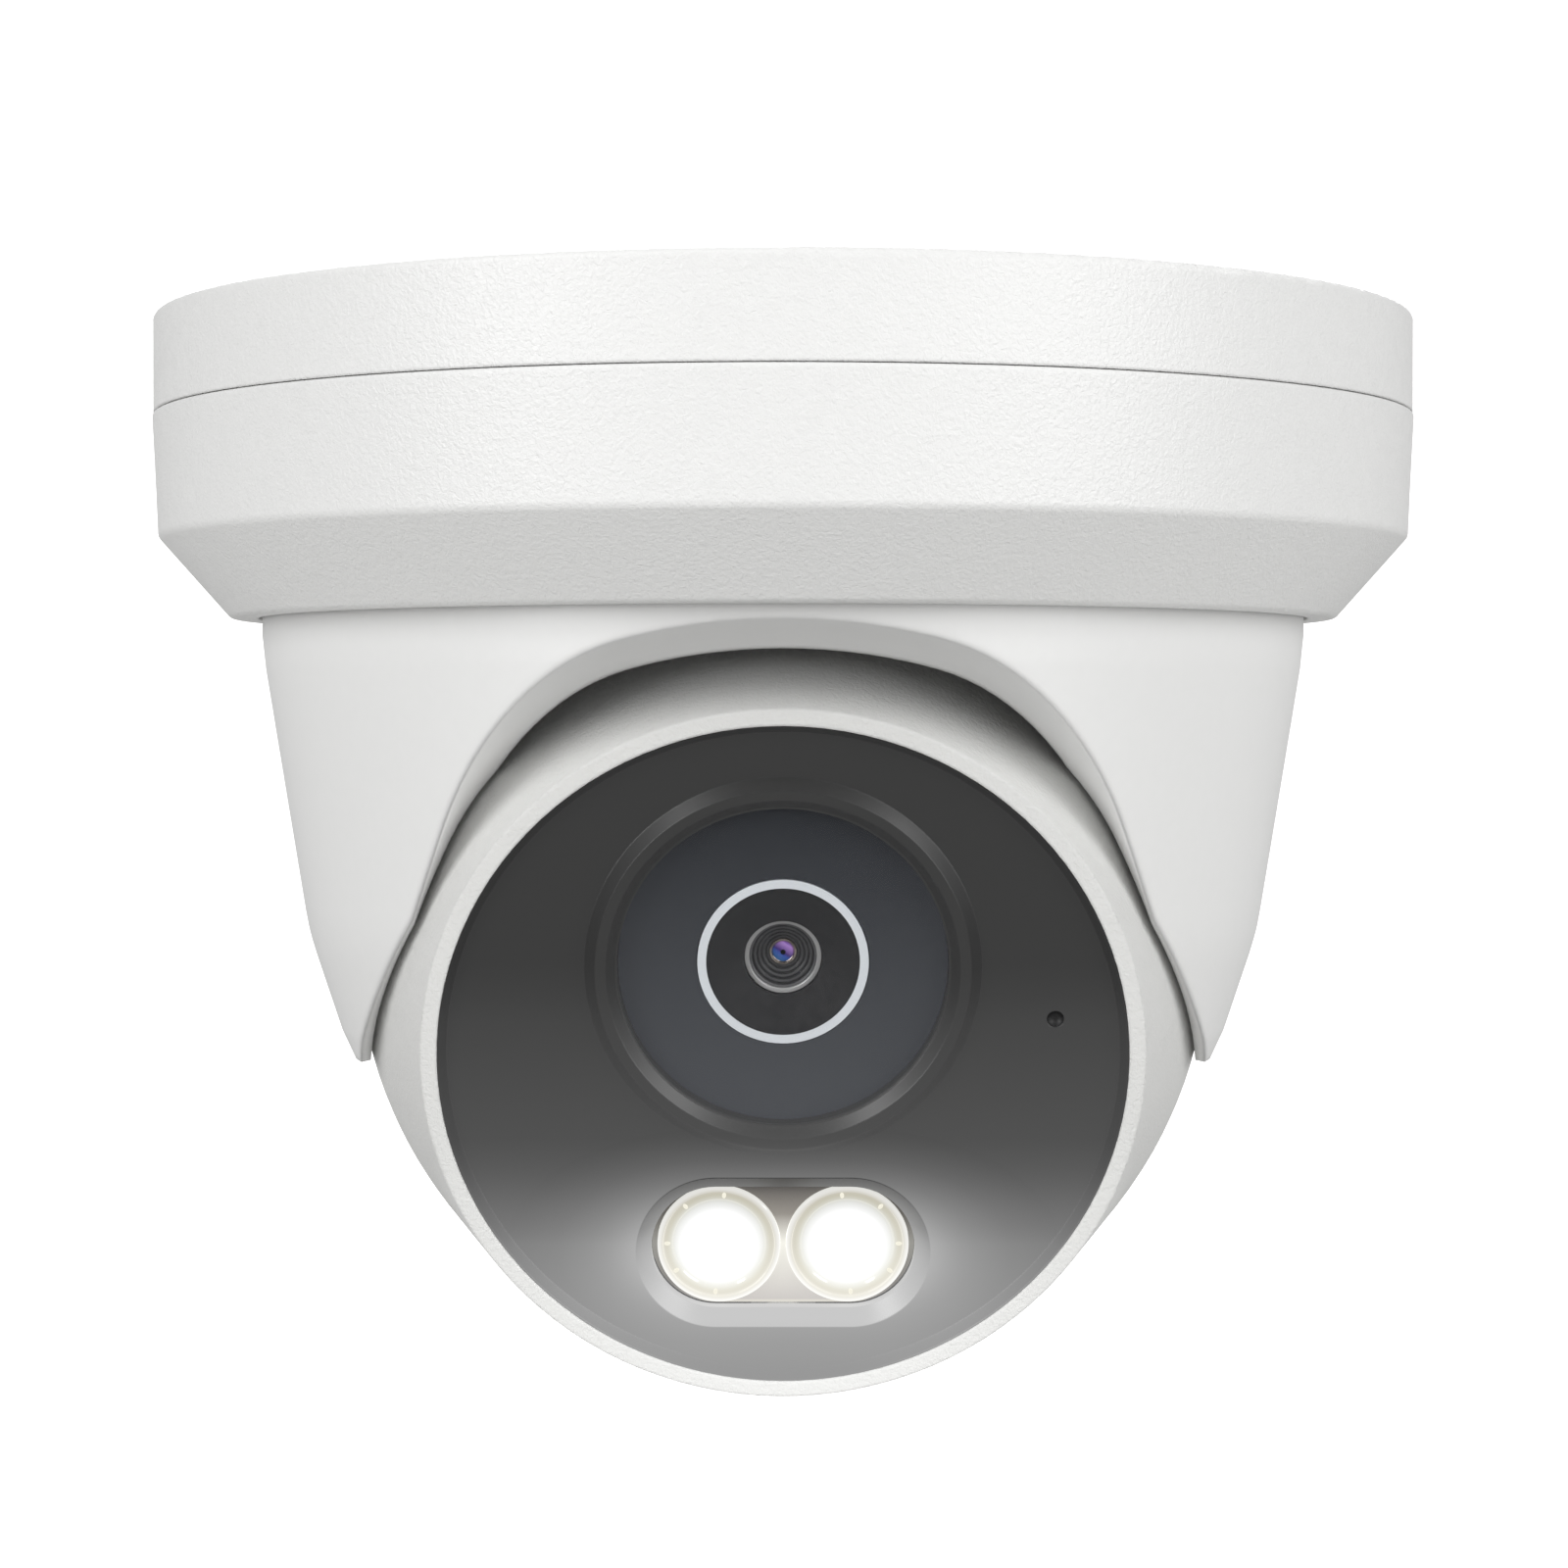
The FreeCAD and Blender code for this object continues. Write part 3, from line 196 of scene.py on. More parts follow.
# ------------------------------------------------------------ ball shells
# The eyeball is two coated castings screwed together round a seal. The rim round the face is
# turned flat before coating. The skin is the base's white coat drawn a shade darker: painted
# shade.
shaded_ball_coat = powder_coat("aluminium_powder_coated_white_painted_shade", "#DEDEDC", "#E1E1DF")
dress(shaded_ball_coat, "ball_front_shell", "ball_rear_shell")


# ------------------------------------------------------------ front cover
# Black polycarbonate, gloss moulded, set into the rim. A glow is painted into it round the
# lamps: a painted grey glow that grows from the lamp slot down, a painted glow beside the slot,
# painted light on the slot's lower bevel and painted shade on its upper bevel. A painted glow
# on the rim goes with it.
roll = next(joint for joint in frame["joints"] if joint["name"] == "roll")
outward = Vector(roll["axis"]).normalized()
across = Vector((1, 0, 0))
face = Matrix.Translation(roll["pos_m"]) @ Matrix(
    (across, outward.cross(across), outward)).transposed().to_4x4()


def face_box(name):
    """A CAD node's lowest and highest corners along the face's own axes."""
    back = face.inverted()
    points = [back @ vertex.co for vertex in nodes[name].data.vertices]
    return (Vector([min(p[i] for p in points) for i in range(3)]),
            Vector([max(p[i] for p in points) for i in range(3)]))


def face_millimetres(tree):
    """Points of the face in millimetres: sideways, upward and outward from the roll axis."""
    place = put(tree, "ShaderNodeTexCoord")
    return put(tree, "ShaderNodeMapping", {
        "Vector": place.outputs["Object"], "Location": face.to_translation(),
        "Rotation": face.to_euler(), "Scale": (MM, MM, MM)}, vector_type="TEXTURE")


def glow(red, green=None, blue=None):
    """RGBA of a light's strength, neutral unless green and blue are given."""
    return (red, red if green is None else green, red if blue is None else blue, 1)


lamp_low, lamp_high = face_box("led_lenses")
lamp_radius = (lamp_high.y - lamp_low.y) / 2
lamp_up = (lamp_high.y + lamp_low.y) / 2
lamp_side = lamp_high.x - lamp_radius
SLOT_ROUND = 5.3                # radius of the lamp slot's ends, mm
SLOT_REACH = 5.5                # half the distance between their centres, mm
SLOT_BEVEL = 1.2                # width of the bevel round the slot, mm
HALO = 12.0                     # how far the painted glow beside the slot reaches, mm
HALO_SQUASH = 1.6               # how much faster it fades above and below the slot
WASH_TOP, WASH_FALL = 8.0, 34.0     # where the painted grey glow starts, and how far down it grows, mm

cover, tree, shader = surface("polycarbonate_gloss_black", "#191919", 0.33, Emission_Strength=1.0)
grained(tree, shader, 0.5 * MM, 0.004 * MM, 0.1, edge=0.15 * MM)
points = face_millimetres(tree)
sides = put(tree, "ShaderNodeSeparateXYZ", {0: points})
down = put(tree, "ShaderNodeMapRange", {
    "Value": sides.outputs["Y"], "From Min": WASH_TOP, "From Max": WASH_TOP - WASH_FALL})
wash = put(tree, "ShaderNodeValToRGB", {0: down}, soft=True, stops=[
    (0.0, glow(0.008)), (1.0, glow(0.31)), (0.15, glow(0.024)), (0.44, glow(0.045)),
    (0.53, glow(0.065)), (0.62, glow(0.12)), (0.71, glow(0.17)), (0.88, glow(0.28))])
mirrored = put(tree, "ShaderNodeMath", {0: sides.outputs["X"]}, operation="ABSOLUTE")
beside = put(tree, "ShaderNodeMath", {0: mirrored, 1: SLOT_REACH}, operation="SUBTRACT")
past = put(tree, "ShaderNodeMath", {0: beside, 1: 0.0}, operation="MAXIMUM")
level = put(tree, "ShaderNodeMath", {0: sides.outputs["Y"], 1: lamp_up / MM}, operation="SUBTRACT")
flat = put(tree, "ShaderNodeCombineXYZ", {0: past, 1: level})
from_middle = put(tree, "ShaderNodeVectorMath", {0: flat}, operation="LENGTH")
on_bevel = put(tree, "ShaderNodeMapRange", {
    "Value": from_middle.outputs["Value"], "From Min": SLOT_ROUND + SLOT_BEVEL,
    "From Max": SLOT_ROUND + SLOT_BEVEL + 0.1, "To Min": 1.0, "To Max": 0.0})
squashed = put(tree, "ShaderNodeVectorMath", {0: flat, 1: (1, HALO_SQUASH, 1)},
               operation="MULTIPLY")
from_halo = put(tree, "ShaderNodeVectorMath", {0: squashed}, operation="LENGTH")
away = put(tree, "ShaderNodeMapRange", {
    "Value": from_halo.outputs["Value"], "From Min": SLOT_ROUND, "From Max": SLOT_ROUND + HALO})
halo = put(tree, "ShaderNodeValToRGB", {0: away}, soft=True, stops=[
    (0.0, glow(0.28)), (1.0, glow(0.0)), (0.09, glow(0.23)), (0.25, glow(0.13)),
    (0.42, glow(0.075)), (0.64, glow(0.03)), (0.82, glow(0.008))])
# Painted light on the slot's lower bevel and painted shade on its upper bevel.
bevel_light_and_shade_ramp = put(tree, "ShaderNodeMapRange", {
    "Value": level, "From Min": 2.0, "From Max": -6.0, "To Min": -0.14, "To Max": 0.2})
painted_bevel_light_and_shade = put(tree, "ShaderNodeMath", {0: on_bevel, 1: bevel_light_and_shade_ramp}, operation="MULTIPLY")
painted_halo_and_bevel = put(tree, "ShaderNodeMix", {0: 1.0, 6: halo, 7: painted_bevel_light_and_shade},
            data_type="RGBA", blend_type="ADD")
painted_glow = put(tree, "ShaderNodeMix", {0: 1.0, 6: wash, 7: painted_halo_and_bevel.outputs[2]},
           data_type="RGBA", blend_type="ADD")
tree.links.new(painted_glow.outputs[2], shader.inputs["Emission Color"])
dress(cover, "front_cover")

PAINTED_GLOW_NEAR, PAINTED_GLOW_FAR = 8.0, 30.0   # the glow painted on the ball's coat round the lamps fades between these, mm
# A glow painted into the ball's coat, brightest near the lamps: painted light on the rim.
tree = shaded_ball_coat.node_tree
shader = tree.nodes["Principled BSDF"]
from_lamps = put(tree, "ShaderNodeVectorMath", {
    0: face_millimetres(tree), 1: (0, lamp_up / MM, lamp_high.z / MM)}, operation="DISTANCE")
painted_rim_glow = put(tree, "ShaderNodeMapRange", {
    "Value": from_lamps.outputs["Value"], "From Min": PAINTED_GLOW_NEAR, "From Max": PAINTED_GLOW_FAR,
    "To Min": 0.24, "To Max": 0.0})
tree.links.new(painted_rim_glow.outputs[0], shader.inputs["Emission Color"])
shader.inputs["Emission Strength"].default_value = 1.0


# ------------------------------------------------------------ window and light baffle
# A flat disc of anti-reflection coated glass is bonded behind the raised collar. Under it a
# blue-black anodised funnel keeps stray light off the lens; it is blasted to a dead matt.
window, tree, shader = surface("glass_antireflection_coated", "#0C1016", 0.03, Alpha=0.07)
place = put(tree, "ShaderNodeTexCoord")
smear = put(tree, "ShaderNodeTexNoise", {
    "Vector": place.outputs["Object"], "Scale": 1 / (6 * MM), "Detail": 2.0})
wipe = put(tree, "ShaderNodeMapRange", {
    "Value": smear.outputs["Fac"], "To Min": 0.01, "To Max": 0.06})
tree.links.new(wipe.outputs[0], shader.inputs["Roughness"])
dress(window, "lens_window")

baffle, tree, shader = surface("aluminium_blasted_anodised_blue_black", "#33363B", 0.6,
                               Emission_Strength=1.0)
fine, _ = grained(tree, shader, 0.25 * MM, 0.02 * MM, 0.35)
mottled(tree, shader, fine, "#1C1F23", "#262A2F", 0.55, 0.7)
# A glow is painted into the funnel, from none at its top to most at its bottom: painted light on
# its lower part.
points = face_millimetres(tree)
baffle_low, baffle_high = face_box("lens_baffle")
down = put(tree, "ShaderNodeMapRange", {
    "Value": put(tree, "ShaderNodeSeparateXYZ", {0: points}).outputs["Y"],
    "From Min": baffle_high.y / MM, "From Max": baffle_low.y / MM})
painted_glow = put(tree, "ShaderNodeValToRGB", {0: down}, stops=[
    (0.0, glow(0.0, 0.0, 0.002)), (1.0, glow(0.062, 0.064, 0.07)),
    (0.5, glow(0.034, 0.035, 0.041))])
tree.links.new(painted_glow.outputs[0], shader.inputs["Emission Color"])
dress(baffle, "lens_baffle")


# ------------------------------------------------------------ lens barrel and bright ring
# Black moulded barrel with a satin taper, and a bead-blasted aluminium ring round its mouth
# that reads as one even pale line.
barrel, tree, shader = surface("nylon_glass_filled_black", "#28282A", 0.5)
_, coarse = grained(tree, shader, 0.2 * MM, 0.01 * MM, 0.25)
mottled(tree, shader, coarse, "#232325", "#303032", 0.42, 0.58)
dress(barrel, "lens_barrel", "lens_holder")

bright, tree, shader = surface("aluminium_bead_blasted", "#F2F7FC", 0.42, Metallic=0.1)
fine, _ = grained(tree, shader, 0.12 * MM, 0.01 * MM, 0.35)
mottled(tree, shader, fine, "#EAF1F8", "#F8FBFE", 0.36, 0.5)
dress(bright, "lens_trim_ring")


# ------------------------------------------------------------ front lens and the eye behind it
# The first element sits behind a thin turned ring. Inside, a ribbed black cone steps down to
# a small element whose violet and blue coating is the only colour on the camera.
def turned(name, outline, centre, material, body="ball", steps=96):
    """Spins (radius, outward) points in millimetres round the face's axis through centre."""
    mesh = bmesh.new()
    rings = []
    for radius, height in outline:
        turns = 1 if radius == 0 else steps
        rings.append([mesh.verts.new((
            centre.x + radius * MM * math.cos(2 * math.pi * i / turns),
            centre.y + radius * MM * math.sin(2 * math.pi * i / turns),
            height * MM)) for i in range(turns)])
    for inner, outer in zip(rings, rings[1:]):
        for i in range(steps):
            a, b = inner[i % len(inner)], inner[(i + 1) % len(inner)]
            c, d = outer[(i + 1) % len(outer)], outer[i % len(outer)]
            corners = list(dict.fromkeys((a, b, c, d)))
            if len(corners) > 2:
                mesh.faces.new(corners)
    bmesh.ops.recalc_face_normals(mesh, faces=mesh.faces)
    return settle(name, mesh, material, body)


def settle(name, mesh, material, body):
    """Turns mesh work drawn on the face into a piece on a body."""
    mesh.transform(face)
    data = bpy.data.meshes.new(name)
    mesh.to_mesh(data)
    mesh.free()
    for polygon in data.polygons:
        polygon.use_smooth = True
    data.materials.append(material)
    piece = bpy.data.objects.new(name, data)
    bpy.context.scene.collection.objects.link(piece)
    data.set_sharp_from_angle(angle=math.radians(35))
    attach(piece, body)
    return piece


eye_low, eye_high = face_box("front_lens")
eye = (eye_low + eye_high) / 2
EYE = (eye_high.x - eye_low.x) / 2 / MM
TOP = eye_high.z / MM

rim_grey, tree, shader = surface("aluminium_turned_grey_anodised", "#BEBEBE", 0.35, Metallic=0.2)
fine, _ = grained(tree, shader, 0.1 * MM, 0.004 * MM, 0.3)
mottled(tree, shader, fine, "#B4B4B4", "#C8C8C8", 0.3, 0.45)
rim = turned("lens_rim", [
    (EYE - 0.02, TOP - 0.5), (EYE - 0.02, TOP - 0.06), (EYE - 0.08, TOP), (EYE - 0.36, TOP),
    (EYE - 0.42, TOP - 0.05), (EYE - 0.46, TOP - 0.5)], eye, rim_grey)

cone, tree, shader = surface("polycarbonate_ribbed_black", "#464648", 0.3)
from_eye = put(tree, "ShaderNodeVectorMath", {
    0: face_millimetres(tree), 1: (eye.x / MM, eye.y / MM, 0)}, operation="SUBTRACT")
ribs = put(tree, "ShaderNodeTexWave", {
    "Vector": from_eye, "Scale": 0.9, "Distortion": 0.0}, wave_type="RINGS", rings_direction="Z")
rib_bump = put(tree, "ShaderNodeBump", {
    "Height": ribs.outputs["Fac"], "Strength": 0.4, "Distance": 0.05 * MM})
tree.links.new(rib_bump.outputs["Normal"], shader.inputs["Normal"])
mottled(tree, shader, ribs.outputs["Fac"], "#363637", "#626264", 0.2, 0.4)
funnel = turned("lens_funnel", [
    (EYE - 0.46, TOP - 0.2), (2.55, TOP - 0.28), (2.5, TOP - 0.5), (2.1, TOP - 0.62),
    (2.05, TOP - 0.8), (1.7, TOP - 0.92), (1.66, TOP - 1.1), (1.35, TOP - 1.2),
    (1.32, TOP - 1.32), (0.98, TOP - 1.4)], eye, cone)

polish, tree, shader = surface("brass_nickel_plated", "#CFC3B8", 0.14, Metallic=1.0)
_, coarse = grained(tree, shader, 0.3 * MM, 0.004 * MM, 0.15)
mottled(tree, shader, coarse, "#B9ACA2", "#D8CEC6", 0.1, 0.2)
retainer = turned("lens_retainer", [
    (1.12, TOP - 1.36), (1.08, TOP - 1.24), (0.94, TOP - 1.2), (0.84, TOP - 1.3)],
    eye, polish)

violet, tree, shader = surface("glass_multicoated_violet", "#3A1F6E", 0.05, Coat_Weight=1.0,
                               Emission_Strength=0.55)
# The coating's colour sweeps from blue through violet to pale violet across the element and glows
# from it. The violet and blue are the coating's own; the pale side and the glow are a painted
# reflection.
from_eye = put(tree, "ShaderNodeVectorMath", {
    0: face_millimetres(tree), 1: (eye.x / MM, eye.y / MM, 0)}, operation="SUBTRACT")
slant = put(tree, "ShaderNodeVectorMath", {0: from_eye, 1: (0.55, 0.83, 0)},
            operation="DOT_PRODUCT")
tinted = put(tree, "ShaderNodeMapRange", {
    "Value": slant.outputs["Value"], "From Min": -0.7, "From Max": 0.7})
coating_and_painted_glint = put(tree, "ShaderNodeValToRGB", {0: tinted}, stops=[
    (0.0, linear("#2C5C92")), (1.0, linear("#B48BD6")), (0.3, linear("#2F4FA0")),
    (0.5, linear("#3A2470")), (0.78, linear("#8A62B8"))])
tree.links.new(coating_and_painted_glint.outputs[0], shader.inputs["Base Color"])
tree.links.new(coating_and_painted_glint.outputs[0], shader.inputs["Emission Color"])
pupil = turned("lens_pupil", [
    (0.0, TOP - 1.12), (0.3, TOP - 1.135), (0.6, TOP - 1.19), (0.82, TOP - 1.3),
    (0.82, TOP - 1.4)], eye, violet, steps=48)
iris_black, tree, shader = surface("steel_blades_blackened", "#0A0A10", 0.3, Metallic=0.5)
grained(tree, shader, 0.2 * MM, 0.005 * MM, 0.2)
iris = turned("lens_iris", [
    (0.0, TOP - 1.08), (0.16, TOP - 1.09), (0.22, TOP - 1.13)], eye, iris_black, steps=32)

lens_glass, tree, shader = surface("glass_polished_front_element", "#0E0F14", 0.02, Alpha=0.14)
place = put(tree, "ShaderNodeTexCoord")
smear = put(tree, "ShaderNodeTexNoise", {
    "Vector": place.outputs["Object"], "Scale": 1 / (2 * MM), "Detail": 1.0})
wipe = put(tree, "ShaderNodeMapRange", {
    "Value": smear.outputs["Fac"], "To Min": 0.01, "To Max": 0.04})
tree.links.new(wipe.outputs[0], shader.inputs["Roughness"])
dome = turned("lens_dome", [
    (0.0, TOP - 0.02), (0.7, TOP - 0.05), (1.4, TOP - 0.14), (2.0, TOP - 0.28),
    (2.5, TOP - 0.46)], eye, lens_glass)
for piece in (rim, funnel, retainer, pupil, iris, dome):
    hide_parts("front_lens")
dress(lens_glass, "inner_lenses")


# ------------------------------------------------------------ microphone port
# A dished disc of fine black mesh is heat-staked into the cover's small hole, in front of the
# microphone's steel can, and keeps water and insects out.
COVER_WALL = 2.0                # thickness of the cover, mm
MESH_THREAD = 0.12 * MM         # drawn coarser than such a mesh is, so that it shows
port_low, port_high = face_box("mic_seal")
port = (port_low + port_high) / 2
MOUTH = port_high.z / MM + COVER_WALL

# The mesh is drawn near black so that the port reads as a dark hole; part of that darkness is
# painted shade.
mesh_black_and_painted_shade, tree, shader = surface("polyester_woven_black", "#111112", 0.5)
place = put(tree, "ShaderNodeTexCoord")
weave = put(tree, "ShaderNodeTexChecker", {
    "Vector": place.outputs["Object"], "Color1": linear("#0C0C0D"), "Color2": linear("#232324"),
    "Scale": 1 / MESH_THREAD})
tree.links.new(weave.outputs["Color"], shader.inputs["Base Color"])
threads = put(tree, "ShaderNodeBump", {
    "Height": weave.outputs["Fac"], "Strength": 0.4, "Distance": 0.03 * MM})
tree.links.new(threads.outputs["Normal"], shader.inputs["Normal"])
turned("mic_mesh", [
    (0.0, MOUTH - 0.5), (0.3, MOUTH - 0.46), (0.52, MOUTH - 0.32), (0.66, MOUTH - 0.1),
    (0.68, MOUTH - 0.12), (0.68, MOUTH - 0.8), (0.0, MOUTH - 0.8)], port, mesh_black_and_painted_shade, steps=32)


# ------------------------------------------------------------ image sensor, boards and heat path
# Glass-epoxy boards under green solder mask carry moulded chips. Brass standoffs, a milled
# bracket and a finned sink take their heat to the ball's wall.
mask, tree, shader = surface("glass_epoxy_green_mask", "#12502A", 0.3, Coat_Weight=0.4)
place = put(tree, "ShaderNodeTexCoord")
tracks = put(tree, "ShaderNodeTexBrick", {
    "Vector": place.outputs["Object"], "Color1": linear("#12502A"), "Color2": linear("#175F33"),
    "Mortar": linear("#2C7A48"), "Scale": 1 / (2.4 * MM), "Mortar Size": 0.03})
tree.links.new(tracks.outputs["Color"], shader.inputs["Base Color"])
copper = put(tree, "ShaderNodeBump", {
    "Height": tracks.outputs["Fac"], "Strength": 0.3, "Distance": 0.03 * MM})
tree.links.new(copper.outputs["Normal"], shader.inputs["Normal"])
dress(mask, "sensor_board", "main_board")

epoxy, tree, shader = surface("epoxy_transfer_moulded_black", "#1A1A1C", 0.5)
fine, _ = grained(tree, shader, 0.15 * MM, 0.01 * MM, 0.3)
mottled(tree, shader, fine, "#161618", "#222225", 0.42, 0.6)
dress(epoxy, "image_sensor", "processor", "memory_chips", "board_link")

milled, tree, shader = surface("aluminium_milled", "#C4C5C7", 0.32, Metallic=1.0)
place = put(tree, "ShaderNodeTexCoord")
lay = put(tree, "ShaderNodeMapping", {
    "Vector": place.outputs["Object"], "Scale": (4000.0, 250.0, 250.0)})
passes = put(tree, "ShaderNodeTexNoise", {"Vector": lay.outputs[0], "Scale": 1.0, "Detail": 2.0})
mottled(tree, shader, passes.outputs["Fac"], "#B4B5B7", "#D0D1D3", 0.26, 0.42)
dress(milled, "inner_bracket", "heat_sink", "led_block")

brass, tree, shader = surface("brass_turned", "#B08D4A", 0.3, Metallic=1.0)
_, coarse = grained(tree, shader, 0.2 * MM, 0.005 * MM, 0.25)
mottled(tree, shader, coarse, "#A5823F", "#BF9C58", 0.24, 0.4)
dress(brass, "board_standoffs")


# ------------------------------------------------------------ lamps
# Each lamp is a phosphor chip under a clear acrylic collimator. Lit, the middle is white hot,
# a cream band shows round it through the flange, and small moulded nubs break up the band.
board_white, tree, shader = surface("glass_epoxy_white_mask", "#E4E4DE", 0.35)
grained(tree, shader, 0.4 * MM, 0.01 * MM, 0.2)
dress(board_white, "led_board")

phosphor, tree, shader = surface("silicone_phosphor_filled", "#F2DFA0", 0.5,
                                 Emission_Strength=3.0)
shader.inputs["Emission Color"].default_value = linear("#FFF1C8")
grained(tree, shader, 0.2 * MM, 0.02 * MM, 0.3)
dress(phosphor, "led_chips")

holder, tree, shader = surface("polycarbonate_grey_carrier", "#5B5856", 0.4,
                               Emission_Strength=1.0)
grained(tree, shader, 0.3 * MM, 0.01 * MM, 0.2)
# The grey carrier glows though it is no lamp: a painted glow, dim at the top, strongest at the
# lamps' middle height and fading outward past them.
sides = put(tree, "ShaderNodeSeparateXYZ", {0: face_millimetres(tree)})
down = put(tree, "ShaderNodeMapRange", {
    "Value": sides.outputs["Y"], "From Min": lamp_high.y / MM, "From Max": lamp_low.y / MM})
painted_glow = put(tree, "ShaderNodeValToRGB", {0: down}, stops=[
    (0.0, glow(0.03, 0.028, 0.025)), (1.0, glow(0.5, 0.48, 0.46)),
    (0.25, glow(0.2, 0.185, 0.16)), (0.5, glow(0.84, 0.83, 0.76)),
    (0.75, glow(0.62, 0.6, 0.54))])
mirrored = put(tree, "ShaderNodeMath", {0: sides.outputs["X"]}, operation="ABSOLUTE")
near = put(tree, "ShaderNodeMapRange", {
    "Value": mirrored, "From Min": lamp_side / MM, "From Max": lamp_side / MM + 4,
    "To Min": 1.0, "To Max": 0.3})
lit = put(tree, "ShaderNodeMix", {0: 1.0, 6: painted_glow, 7: near},
          data_type="RGBA", blend_type="MULTIPLY")
tree.links.new(lit.outputs[2], shader.inputs["Emission Color"])
dress(holder, "led_holder")

acrylic, tree, shader = surface("acrylic_clear_lit", "#3C3B38", 0.12, Emission_Strength=1.0,
                                Coat_Weight=0.5)
points = face_millimetres(tree)
mirrored = put(tree, "ShaderNodeVectorMath", {0: points}, operation="ABSOLUTE")
flat = put(tree, "ShaderNodeVectorMath", {0: mirrored, 1: (1, 1, 0)}, operation="MULTIPLY")
spread = put(tree, "ShaderNodeVectorMath", {
    0: flat, 1: (lamp_side / MM, abs(lamp_up) / MM, 0)}, operation="DISTANCE")
ring = put(tree, "ShaderNodeMath", {0: spread.outputs["Value"], 1: lamp_radius / MM},
           operation="DIVIDE")
hot = put(tree, "ShaderNodeValToRGB", {0: ring}, soft=True, stops=[
    (0.0, glow(2.4)), (1.0, glow(0.86)), (0.4, glow(1.5)), (0.56, glow(0.95)),
    (0.7, glow(0.74, 0.75, 0.74)), (0.8, glow(0.56, 0.545, 0.45)),
    (0.89, glow(0.46, 0.43, 0.33)), (0.925, glow(0.8, 0.8, 0.76))])
drop = put(tree, "ShaderNodeMapRange", {
    "Value": put(tree, "ShaderNodeSeparateXYZ", {0: points}).outputs["Y"],
    "From Min": lamp_up / MM + 4, "From Max": lamp_up / MM - 3, "To Min": 0.0, "To Max": 0.22})
even = put(tree, "ShaderNodeMix", {0: 1.0, 6: hot, 7: drop}, data_type="RGBA", blend_type="ADD")
tree.links.new(even.outputs[2], shader.inputs["Emission Color"])

nub_white, tree, shader = surface("acrylic_nub_lit", "#4A4944", 0.2, Emission_Strength=0.85)
shader.inputs["Emission Color"].default_value = linear("#FFFBEA")
grained(tree, shader, 0.2 * MM, 0.01 * MM, 0.2)

LAMP_R = lamp_radius / MM
LAMP_TOP = lamp_high.z / MM
NUBS = (84, 130, 180, 214, 266)     # degrees round the left lamp; the right one mirrors them
NUB_CIRCLE = 4.25                   # mm
for side, sign in (("left", -1), ("right", 1)):
    centre = Vector((sign * lamp_side, lamp_up, 0))
    optic = turned(f"lamp_optic_{side}", [
        (0.0, LAMP_TOP - 0.12), (1.2, LAMP_TOP - 0.14), (2.4, LAMP_TOP - 0.24),
        (3.4, LAMP_TOP - 0.42), (3.75, LAMP_TOP - 0.5), (3.9, LAMP_TOP - 0.34),
        (4.55, LAMP_TOP - 0.3), (4.62, LAMP_TOP - 0.04), (4.7, LAMP_TOP), (LAMP_R - 0.1, LAMP_TOP),
        (LAMP_R, LAMP_TOP - 0.1), (LAMP_R, LAMP_TOP - 1.0), (4.6, LAMP_TOP - 1.05),
        (2.2, lamp_low.z / MM + 0.3), (0.0, lamp_low.z / MM + 0.3)], centre, acrylic)
    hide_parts("led_lenses")
    mesh = bmesh.new()
    for angle in NUBS:
        turn = math.radians(angle if sign < 0 else 180 - angle)
        middle = centre + Vector((math.cos(turn), math.sin(turn), 0)) * NUB_CIRCLE * MM
        middle.z = (LAMP_TOP - 0.3) * MM
        shape = Matrix.Translation(middle) @ Matrix.Rotation(turn, 4, "Z") @ Matrix.Diagonal(
            (0.26 * MM, 0.17 * MM, 0.1 * MM, 1))
        bmesh.ops.create_icosphere(mesh, subdivisions=3, radius=1.0, matrix=shape)
    settle(f"lamp_nubs_{side}", mesh, nub_white, "ball")


# ------------------------------------------------------------ studio
# The camera hangs in a light tent: a pale floor well below it, a white sweep behind it lit
# from its far side, a tall soft box at each side of the lens, and a wide one up behind.
FLOOR_DROP = 0.6                # m below the ceiling face
paper, tree, shader = surface("paper_matt_white", "#B8B8B7", 0.9)
grained(tree, shader, 2 * MM, 0.05 * MM, 0.1)
lit_paper, tree, shader = surface("paper_matt_white_backlit", "#F0F0EE", 0.9,
                                  Emission_Strength=1.0)
shader.inputs["Emission Color"].default_value = (1, 1, 1, 1)


def sheet_of(name, outline, half_width, material):
    """A smooth sheet swept sideways along (depth, height) points."""
    data = bpy.data.meshes.new(name)
    points = [(side * half_width, y, z) for y, z in outline for side in (-1, 1)]
    faces = [(2 * i, 2 * i + 1, 2 * i + 3, 2 * i + 2) for i in range(len(outline) - 1)]
    data.from_pydata(points, [], faces)
    for polygon in data.polygons:
        polygon.use_smooth = True
    data.materials.append(material)
    piece = bpy.data.objects.new(name, data)
    bpy.context.scene.collection.objects.link(piece)
    return piece


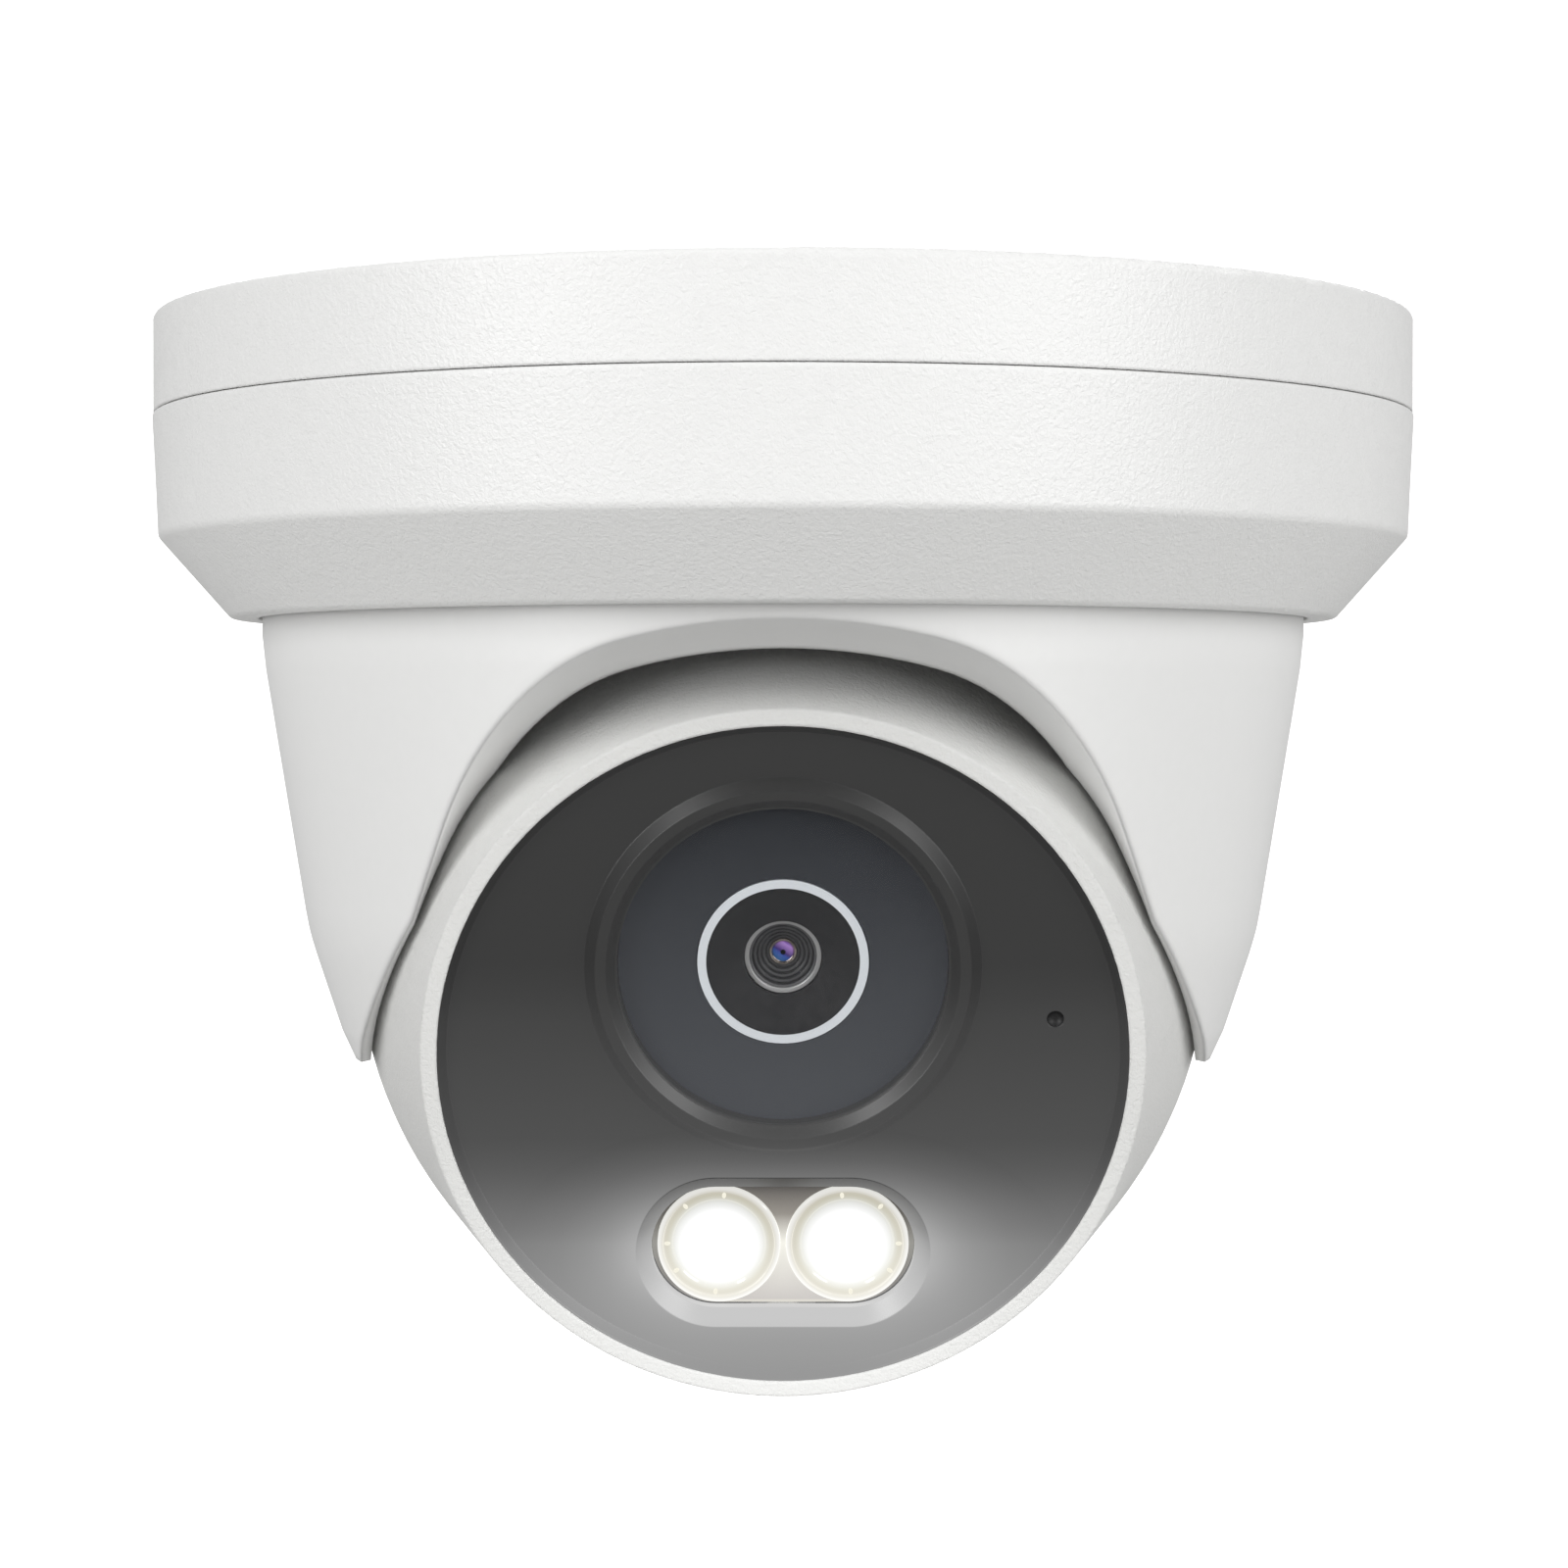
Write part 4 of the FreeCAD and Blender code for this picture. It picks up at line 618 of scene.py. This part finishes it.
SWEEP_START, SWEEP_ROUND, SWEEP_TOP, SWEEP_HALF = 1.0, 0.5, 0.5, 0.6
sheet_of("floor", [(-6.0, -FLOOR_DROP), (SWEEP_START, -FLOOR_DROP)], 6.0, paper)
cove = [(SWEEP_START + SWEEP_ROUND * math.sin(a), -FLOOR_DROP + SWEEP_ROUND * (1 - math.cos(a)))
        for a in (math.radians(6 * i) for i in range(16))]
backdrop = sheet_of("backdrop", cove + [(SWEEP_START + SWEEP_ROUND, SWEEP_TOP)], SWEEP_HALF,
                    lit_paper)
backdrop.visible_diffuse = False        # flagged off, so it throws no light on the object
backdrop.visible_glossy = False

TENT_LIGHT = 0.38       # the cloth lights the object less than its white look would
world = bpy.data.worlds.new("tent")
world.use_nodes = True
world.node_tree.nodes["Background"].inputs["Color"].default_value = (1, 1, 1, 1)
seen = put(world.node_tree, "ShaderNodeLightPath").outputs["Is Camera Ray"]
tent = put(world.node_tree, "ShaderNodeMapRange", {
    "Value": seen, "To Min": TENT_LIGHT, "To Max": 1.0})
world.node_tree.links.new(tent.outputs[0], world.node_tree.nodes["Background"].inputs["Strength"])
bpy.context.scene.world = world


def soft_box(name, azimuth, elevation, distance, size, watts):
    """Soft box of a width and height aimed at the object; azimuth is to the camera's right."""
    a, e = math.radians(azimuth), math.radians(elevation)
    away = Vector((math.sin(a) * math.cos(e), -math.cos(a) * math.cos(e), math.sin(e)))
    data = bpy.data.lights.new(name, "AREA")
    data.shape = "RECTANGLE"
    data.size, data.size_y = size
    data.energy = watts
    lamp = bpy.data.objects.new(name, data)
    lamp.location = Vector((0, 0, -0.04)) + away * distance
    lamp.rotation_euler = away.to_track_quat("Z", "Y").to_euler()
    bpy.context.scene.collection.objects.link(lamp)


soft_box("key", -46, 20, 1.3, (0.5, 1.1), 10.5)
soft_box("fill", 50, 18, 1.3, (0.9, 1.1), 11.0)
soft_box("back", 180, 38, 1.6, (1.2, 0.8), 14.0)

CAMERA_AWAY, CAMERA_DROP = 0.33194, 0.03576     # from the pan axis, and below the ceiling, m
CAMERA_DIP = 0.828                              # how far it looks down, degrees
camera_data = bpy.data.cameras.new("camera")
camera_data.sensor_width = 36.0
camera_data.lens = 85.97
camera_data.shift_x = 0.0006
camera = bpy.data.objects.new("camera", camera_data)
camera.location = (0, -CAMERA_AWAY, -CAMERA_DROP)
camera.rotation_euler = (math.radians(90 - CAMERA_DIP), 0, 0)
bpy.context.scene.collection.objects.link(camera)
bpy.context.scene.camera = camera
bpy.context.scene.view_settings.view_transform = "Standard"
